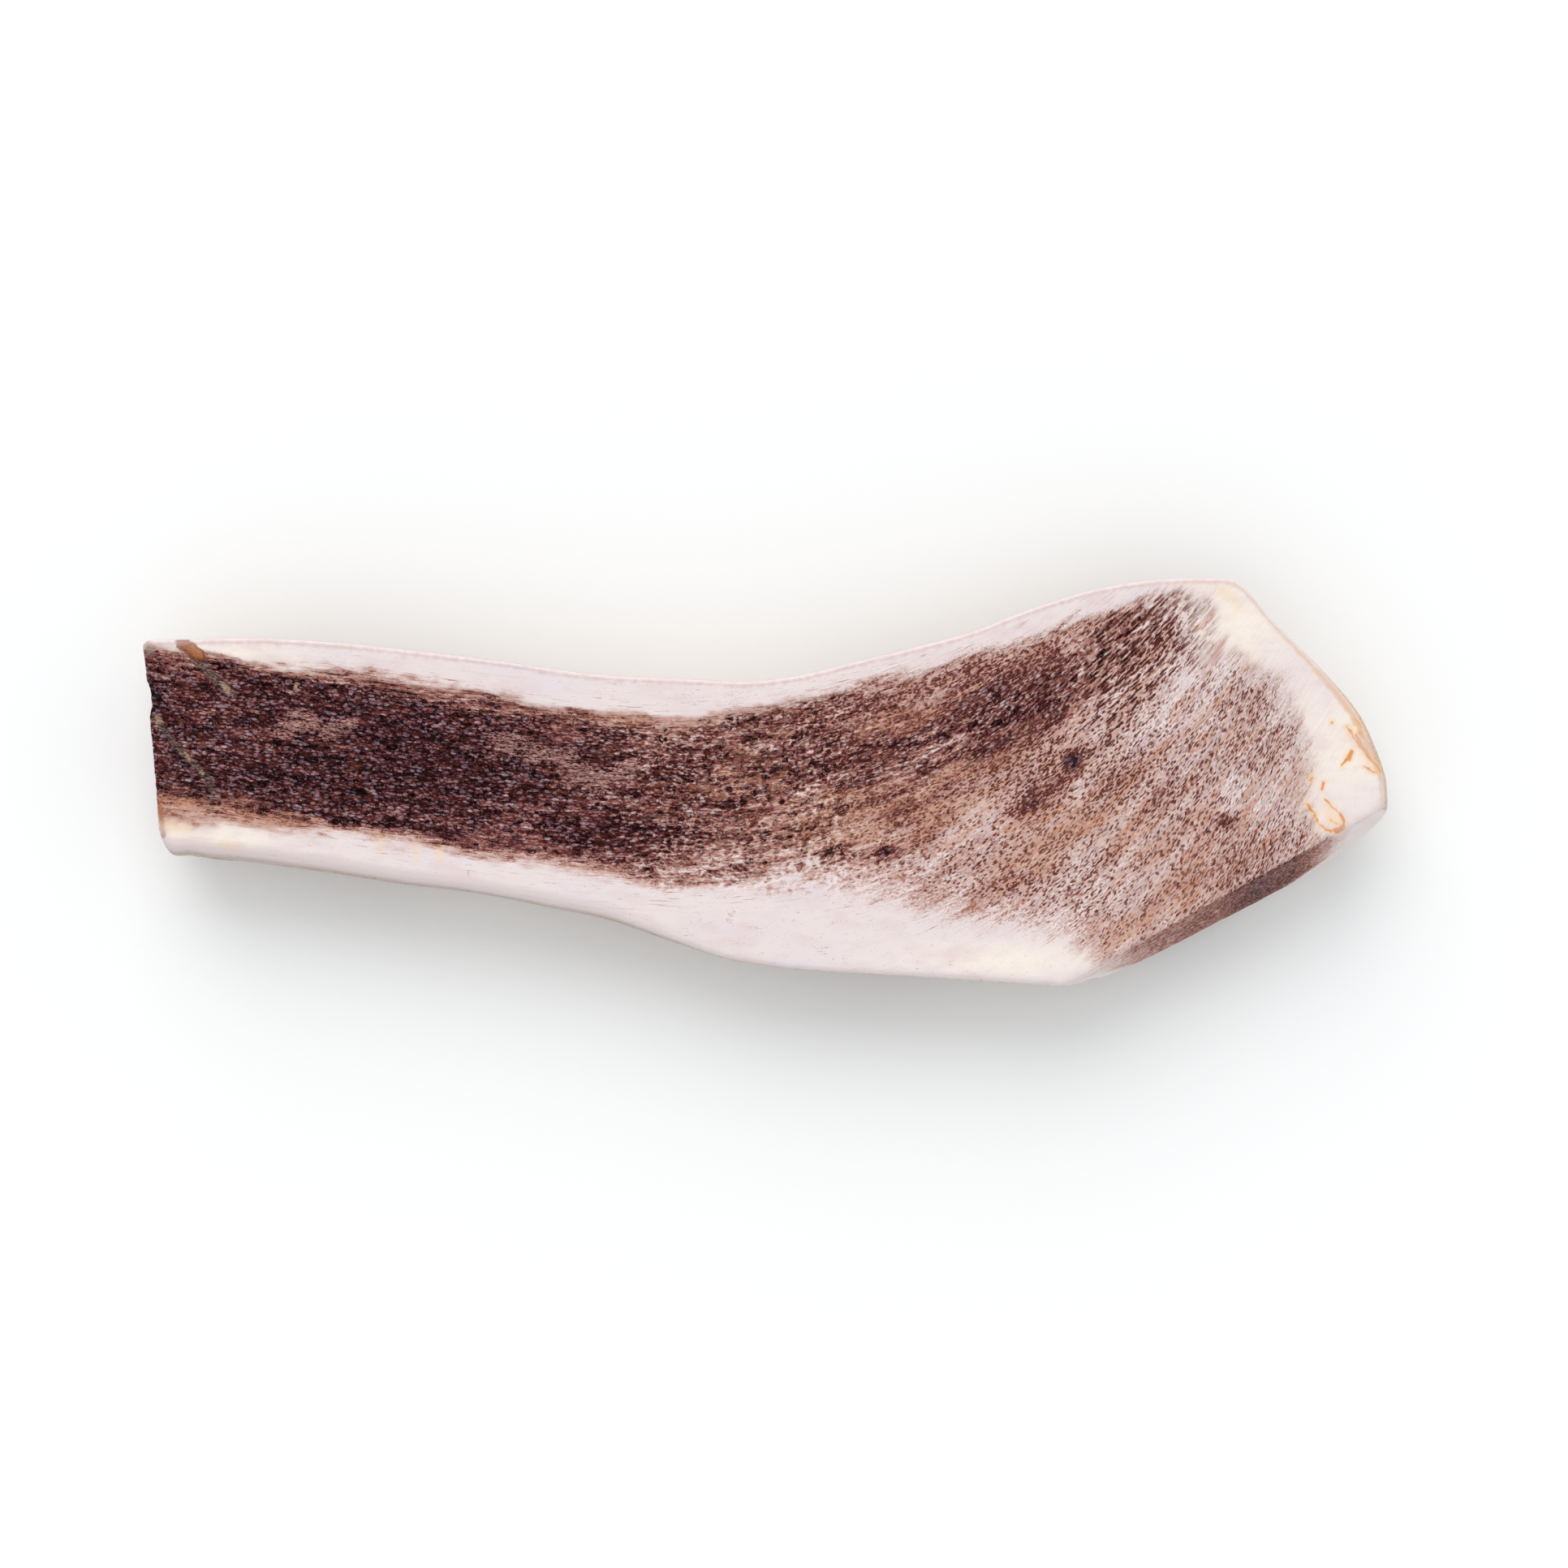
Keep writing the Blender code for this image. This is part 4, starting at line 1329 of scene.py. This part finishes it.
# %% Tint the bend and the beam
clumps = (fibre.noise(0.16, 0.5, 0.5) + grit * 0.5).ramp(0.0, 0.2) * coarse
clumps = clumps * tone.ramp(0.2, 0.4) * tone.ramp(0.8, 0.6)
crumbs = (fibre.noise(0.25, 0.55, 0.55) + grit * 0.8 + threads * 0.5).ramp(0.15, 0.27) * coarse
crumbs = crumbs * tone.ramp(0.32, 0.5)
russet = (fibre.noise(0.3, 0.9, 0.9) + hairs * 0.7).ramp(0.02, 0.22)
russet = russet * tone.ramp(0.7, 0.4) * (1 - fine) * soft
# This mask gives the lump tops a real gloss coat and also a painted glint, a bluish grey laid on their
# colour.
gloss_and_painted_glint = beam * lump_tops.ramp(0.35, 1.0) * (1 - dust) * (1 - coarse * 0.5)
face_colour = glazed(
    face_colour,
    (clumps * 0.45, (158, 98, 76)),
    (crumbs * 0.6, (206, 178, 166)),
    (russet * 0.35, (122, 58, 44)),
    # Painted glint: bluish grey on the lump tops of the dark beam
    (gloss_and_painted_glint * 0.55, (110, 96, 122)),
)
print("nodes so far:", len(tree.nodes))

# %% [markdown]
# Packed dust and the grooves of the saw are pale crumbs on a darker ground, so each is a mix of two
# colours by the grain. Where the marrow frays out into the rim, old blood left a rusty line.

# %% Dust, saw grooves and the rusty border
powder = (dust * 1.3 + grit * 3.4 + threads * 2.6 - 0.45).ramp(0.1, 0.8)
powder_colour = (grit + threads).ramp(-0.16, 0.16).between(tint(100, 62, 62), tint(202, 156, 148))
groove_colour = (grit + threads * 0.6).ramp(-0.16, 0.16).between(tint(50, 36, 38), tint(138, 116, 106))
tan = (at_point("tan") * 1.2 + grit * 1.8).ramp(0.5, 1.0)
rusty = verge * tone.ramp(0.35, 0.6) * tone.ramp(0.97, 0.8) * (hairs + threads).ramp(-0.1, 0.2)
face_colour = glazed(
    face_colour,
    (powder * 0.6, powder_colour),
    (scratch * 0.9, groove_colour),
    (tan * 0.8, (200, 160, 132)),
    (rusty * 0.6, (162, 104, 78)),
)
print("nodes so far:", len(tree.nodes))

# %% [markdown]
# ## Stains
# Rust and orange marks lie on the pale rim: an oval at the square end, a few dabs along the lower edge,
# and thin runs at the tip. Each is a line through a few points, with half its width. A place's distance
# from the line, made uneven by noise, says how much of the stain is there: a dark core, a lighter halo.
# A grey-tan patch at the upper corner of the square end is drawn the same way; it is painted shade of a
# small bevel there.

# %% Where the stains are
RUST_OVAL = ((((-97.8, 23.3), (-96.4, 22.6), (-94.8, 21.5)), 0.8),)
RUST_MARKS = (
    (((-101.6, -3.8), (-101.2, -6.3), (-100.9, -9.0)), 0.35),
    (((33.4, -21.9), (34.2, -21.4), (35.4, -20.3)), 0.22),
    (((-67.3, -9.9), (-66.2, -9.8)), 0.0),
    (((-49.6, -14.9), (-49.4, -16.1)), -0.05),
)
ORANGE_LINES = (
    (((98.3, 9.3), (99.4, 7.6), (100.6, 6.1), (102.5, 3.7), (104.0, 1.9)), 0.12),
    (((99.9, 7.9), (101.2, 5.6), (101.8, 4.9)), 0.16),
    (((99.0, 5.1), (98.5, 4.0)), 0.26),
    (((98.6, 4.4), (97.6, 2.8)), 0.1),
    (((100.6, 8.4), (102.2, 6.2), (103.4, 3.6)), 0.06),
    (((99.8, 10.6), (100.8, 9.0)), 0.1),
    (((101.2, 2.6), (103.3, 1.6)), 0.03),
    (((94.7, -3.0), (95.9, -4.2), (97.1, -5.2)), 0.06),
    (((97.1, -5.2), (97.9, -6.8), (97.8, -7.6)), 0.17),
    (((91.7, -3.7), (92.7, -5.2), (93.6, -6.8), (94.7, -8.0)), 0.06),
    (((94.7, -8.0), (95.7, -8.4)), 0.08),
    (((95.6, -6.4), (96.6, -7.0)), 0.0),
    (((96.5, -8.2), (97.4, -7.8)), 0.35),
    (((95.8, 10.1), (95.9, 10.0)), 0.14),
    (((92.4, 1.0), (92.1, 0.4)), 0.1),
    (((94.4, -0.2), (94.0, -1.3)), 0.14),
)
HALOS = (
    (((98.9, 8.6), (101.0, 5.8), (103.6, 2.2)), 0.3),
    (((95.0, -5.0), (96.2, -6.8)), 0.3),
    (((77.2, 32.2), (78.2, 31.4)), 0.1),
    (((79.2, 30.6), (80.2, 29.6)), 0.1),
    (((-100.6, -7.4), (-97.5, -7.8)), 0.1),
    (((-91.0, -10.6), (-88.5, -10.9)), 0.0),
    (((-64.4, -9.2), (-64.4, -11.4)), -0.15),
    (((-58.4, -10.8), (-58.5, -13.0)), -0.15),
    (((-54.3, -11.6), (-54.4, -13.6)), -0.2),
)
# Painted shade: a grey-tan patch on the small bevel at the square end's upper corner
CORNER_SHADE = ((((-103.9, 23.6), (-103.2, 22.2)), 0.3),)
stains_and_shade = (RUST_OVAL, RUST_MARKS, ORANGE_LINES, HALOS, CORNER_SHADE)
print("strokes:", sum(len(path) - 1 for lines in stains_and_shade for path, _ in lines))

# %% Draw the stains
place = at_point("place", "Vector").stretched(1, 1, 0)
place_x, place_y = (place.node("SeparateXYZ", None, {"Vector": place}, output=axis) for axis in (0, 1))
shake = grit * 0.7 + threads * 0.3
smear = place.noise(0.9, 0.9, 0.9) * 1.4 + grit * 0.5
drawn = place.shaken((0.9, 0.9, 0), (0.55, 0.55, 0.55))
oval = from_lines(drawn, RUST_OVAL) + smear * 0.8
inside_oval = (oval + shake * 1.6).ramp(0.0, -0.55) * (place_x + 97.2 + smear).ramp(-2.2, 1.0)
face_colour = glazed(
    face_colour,
    (oval.ramp(0.45, 0.0) * 0.9, (134, 66, 34)),
    (inside_oval * 0.7, (206, 138, 92)),
)
rust = from_lines(drawn, RUST_MARKS) + smear * 0.5
halo = from_lines(drawn, HALOS) + smear * 1.2
face_colour = glazed(
    face_colour,
    (rust.ramp(0.3, -0.1) * 0.7, (164, 96, 62)),
    (halo.ramp(1.6, -0.3) * 0.5, (246, 214, 170)),
)
orange = from_lines(drawn, ORANGE_LINES) + smear * 0.45
face_colour = glazed(
    face_colour,
    (orange.ramp(0.9, 0.0) * 0.55, (248, 204, 144)),
    (orange.ramp(0.22, -0.08) * 0.8, (220, 130, 54)),
)
print("nodes so far:", len(tree.nodes))

# %% [markdown]
# The handled edge is golden at the tip and greyish pink elsewhere, and it widens where the tip's edge was
# rubbed most. Along the lower edge of the beam a grey strip is painted shade, on the side away from the
# sun. The rim between edge and marrow is mottled faintly, with fine lines along the fibres, so that it
# reads as bone and not as paint.

# %% Colour the edge and the rim
from_edge = at_point("from_edge")
golden = place_x.ramp(56, 84)
wide = place_x.ramp(86, 98) * place_y.ramp(-1, 6)
edge_colour = golden.between(tint(198, 164, 154), tint(226, 180, 136))
edge = (from_edge - wide * 0.45 + smear).ramp(0.7, -0.2) * upper
# Painted shade: a grey strip along the lower sawn edge of the beam
lower_edge_shade = (from_edge + shake).ramp(1.6, 0.2) * (1 - upper) * place_x.ramp(10, -45)
# Painted shade at the upper corner of the square end
corner = from_lines(place, CORNER_SHADE) + smear * 0.6
face_colour = glazed(
    face_colour,
    (edge * (0.5 + wide * 0.2), edge_colour),
    (lower_edge_shade * 0.35, (190, 170, 168)),
    (corner.ramp(1.0, 0.0) * 0.7, (168, 148, 138)),
)
mottled = place.noise(0.1, 0.22, 0.2).ramp(-0.02, 0.22) * tone.ramp(0.85, 1.0)
clouds = place.noise(0.3, 0.6, 0.3, detail=6.0).ramp(-0.05, 0.25) * tone.ramp(0.85, 1.0)
specks = place.noise(0.9, 1.7, 1, detail=4.0).ramp(0.15, 0.26)
specks = specks * place_x.ramp(-20, 8) * place_y.ramp(-9, -20)
faint = fibre.noise(0.06, 2.2, 2.2, detail=4.0) * (1 - at_point("plain") * 0.75)
face_colour = glazed(
    face_colour,
    (mottled * 0.5, (226, 203, 202)),
    (clouds * 0.25, (216, 200, 206)),
    (specks * 0.6, (190, 140, 112)),
    (faint.ramp(0.02, 0.3) * tone.ramp(0.9, 1.0) * 0.35, (214, 190, 182)),
)
print("nodes so far:", len(tree.nodes))

# %% [markdown]
# ## The grown back
# The back has weathered brown in its hollows and worn pale on its ridges. How hollow it is comes from the
# mesh. Thin seams and vessel pores are darker still, and the upper side wall next to the sawn edge was
# scraped pale. The lower side wall of the beam, away from the sun, is painted grey as shade.

# %% Colour the grown back
seams = fibre.cells(0.07, 0.9, 0.9, feature="DISTANCE_TO_EDGE").ramp(0.12, 0.01)
pores = fibre.cells(0.4, 1.0, 1.0)
pores_dark = pores.ramp(0.3, 0.12) * (pores.number() - 0.45).ramp(0, 0.1)
furrows = seams * (fibre.noise(0.08, 0.3, 0.3) + 0.55) * 0.5 + pores_dark * 0.6
weathered = streaks * 1.0 + hairs * 1.3 + threads * 0.7 + grit * 0.5 + fibre.noise(0.03, 0.07, 0.07) * 1.0
worn_ridges = hollow * 0.8 + furrows + weathered
upper_wall = from_edge.ramp(5, 1) * upper
# Painted shade: grey on the lower side wall of the beam, which faces away from the sun
lower_wall_shade = (from_edge + streaks * 3).ramp(4.5, 1) * (1 - upper) * place_x.ramp(30, -30)
back_colour = glazed(
    worn_ridges.node("ValToRGB", {"stops": SKIN}, {"Fac": worn_ridges * 0.66}),
    (upper_wall * 0.6, edge_colour),
    (lower_wall_shade * (0.8 - furrows), (172, 152, 149)),
)
colour = skin.between(face_colour, back_colour)
print("nodes so far:", len(tree.nodes))

# %% [markdown]
# ## Gloss and fine grain
# Dried marrow shines a little where it is dark, like lacquer, and so does the polished rim. A thin coat
# gives both, and packed dust is dull. The finest grain is a bump: it only tilts the surface's shading,
# which is enough for forms of a tenth of a millimetre.

# %% Gloss and fine grain
GRAIN_DEPTH = 0.22 * MM
BONE_ROUGHNESS, COAT_ROUGHNESS = 0.55, 0.2
SHEEN = 0.08  # how much the bone reflects without its coat
gloss = BONE_ROUGHNESS - gloss_and_painted_glint * 0.2 + dust * 0.3 + grit * 0.12
height = threads * 0.5 + grit * 0.7 + lump_tops * beam * 1.4 - flecks_dark * 0.6 - slits_dark
bark = streaks + threads + hairs + grit * 0.6 - furrows * 1.2
relief = soft * height + (1 - soft) * (faint * 0.2 + grit * 0.1) + skin * bark
bump = relief.node("Bump", None, {"Strength": 0.8, "Distance": GRAIN_DEPTH, "Height": relief})
surface_shader = start.node("BsdfPrincipled", None, {
    "Base Color": colour, "Roughness": gloss, "Normal": bump, "Specular IOR Level": SHEEN,
    "Coat Weight": gloss_and_painted_glint * 0.8 + (1 - soft) * 0.3, "Coat Roughness": COAT_ROUGHNESS,
})  # fmt: skip
start.node("OutputMaterial", None, {"Surface": surface_shader})
antler.data.materials.append(bone)
print("nodes in the finish:", len(tree.nodes))

# %% [markdown]
# ## Floor and light
# The piece lies on a plain, nearly white floor. One soft sun stands beyond the upper edge of the picture,
# so the lower side wall falls in shade and every cell of the marrow shows its lit edge. It is fifty
# degrees wide, which blurs its shadows, and an even, nearly white world fills the rest.

# %% Set the stage
FLOOR_SIDE = 6.0
SUN_FROM = (-0.2, 0.85, 0.8)
SUN_WIDTH, SUN_STRENGTH, SUN_COLOUR = math.radians(50), 1.3, (1.0, 0.98, 0.95)
WORLD_COLOUR, WORLD_STRENGTH = (0.94, 0.97, 1.0, 1), 0.785


def flat_finish(name, colour, roughness):
    """A plain material of one screen colour."""
    material = bpy.data.materials.new(name)
    material.use_nodes = True
    shader = material.node_tree.nodes["Principled BSDF"]
    shader.inputs["Base Color"].default_value = tint(*colour)
    shader.inputs["Roughness"].default_value = roughness
    return material


floor_mesh = bpy.data.meshes.new("floor")
half = FLOOR_SIDE / 2
corners = [(-half, -half, 0), (half, -half, 0), (half, half, 0), (-half, half, 0)]
floor_mesh.from_pydata(corners, [], [(0, 1, 2, 3)])
floor_mesh.materials.append(flat_finish("pale_floor", (254, 254, 253), 0.6))
floor = bpy.data.objects.new("floor", floor_mesh)
bpy.context.scene.collection.objects.link(floor)

sun = bpy.data.lights.new("soft_sun", "SUN")
sun.energy, sun.angle, sun.color = SUN_STRENGTH, SUN_WIDTH, SUN_COLOUR
sun_object = bpy.data.objects.new("soft_sun", sun)
sun_object.rotation_euler = Vector(SUN_FROM).to_track_quat("Z", "Y").to_euler()
bpy.context.scene.collection.objects.link(sun_object)
world = bpy.data.worlds.new("even_white")
world.use_nodes = True
world.node_tree.nodes["Background"].inputs["Color"].default_value = WORLD_COLOUR
world.node_tree.nodes["Background"].inputs["Strength"].default_value = WORLD_STRENGTH
bpy.context.scene.world = world
bpy.context.scene.view_settings.view_transform = "Standard"
print("lights:", len(bpy.data.lights), "and an even world")

# %% [markdown]
# ## Camera
# The camera looks straight down on the sawn face from a metre away, with the beam's square end to the
# left. Its lens is set so that the frame is as wide on the sawn face as it should be: focal length over
# sensor width equals distance over frame width.

# %% Place the camera
CAMERA_HEIGHT = 1.0  # above the sawn face
FRAME_WIDTH = 0.2639  # width of the picture on the sawn face
FRAME_CENTRE = (0.00307, -0.00027)
SENSOR = 36.0

camera_data = bpy.data.cameras.new("camera")
camera_data.sensor_width = SENSOR
camera_data.lens = SENSOR * CAMERA_HEIGHT / FRAME_WIDTH
camera = bpy.data.objects.new("camera", camera_data)
camera.location = (*FRAME_CENTRE, REST_DEPTH * MM + CAMERA_HEIGHT)
bpy.context.scene.collection.objects.link(camera)
bpy.context.scene.camera = camera
print("lens:", round(camera_data.lens, 1), "mm")

# %% [markdown]
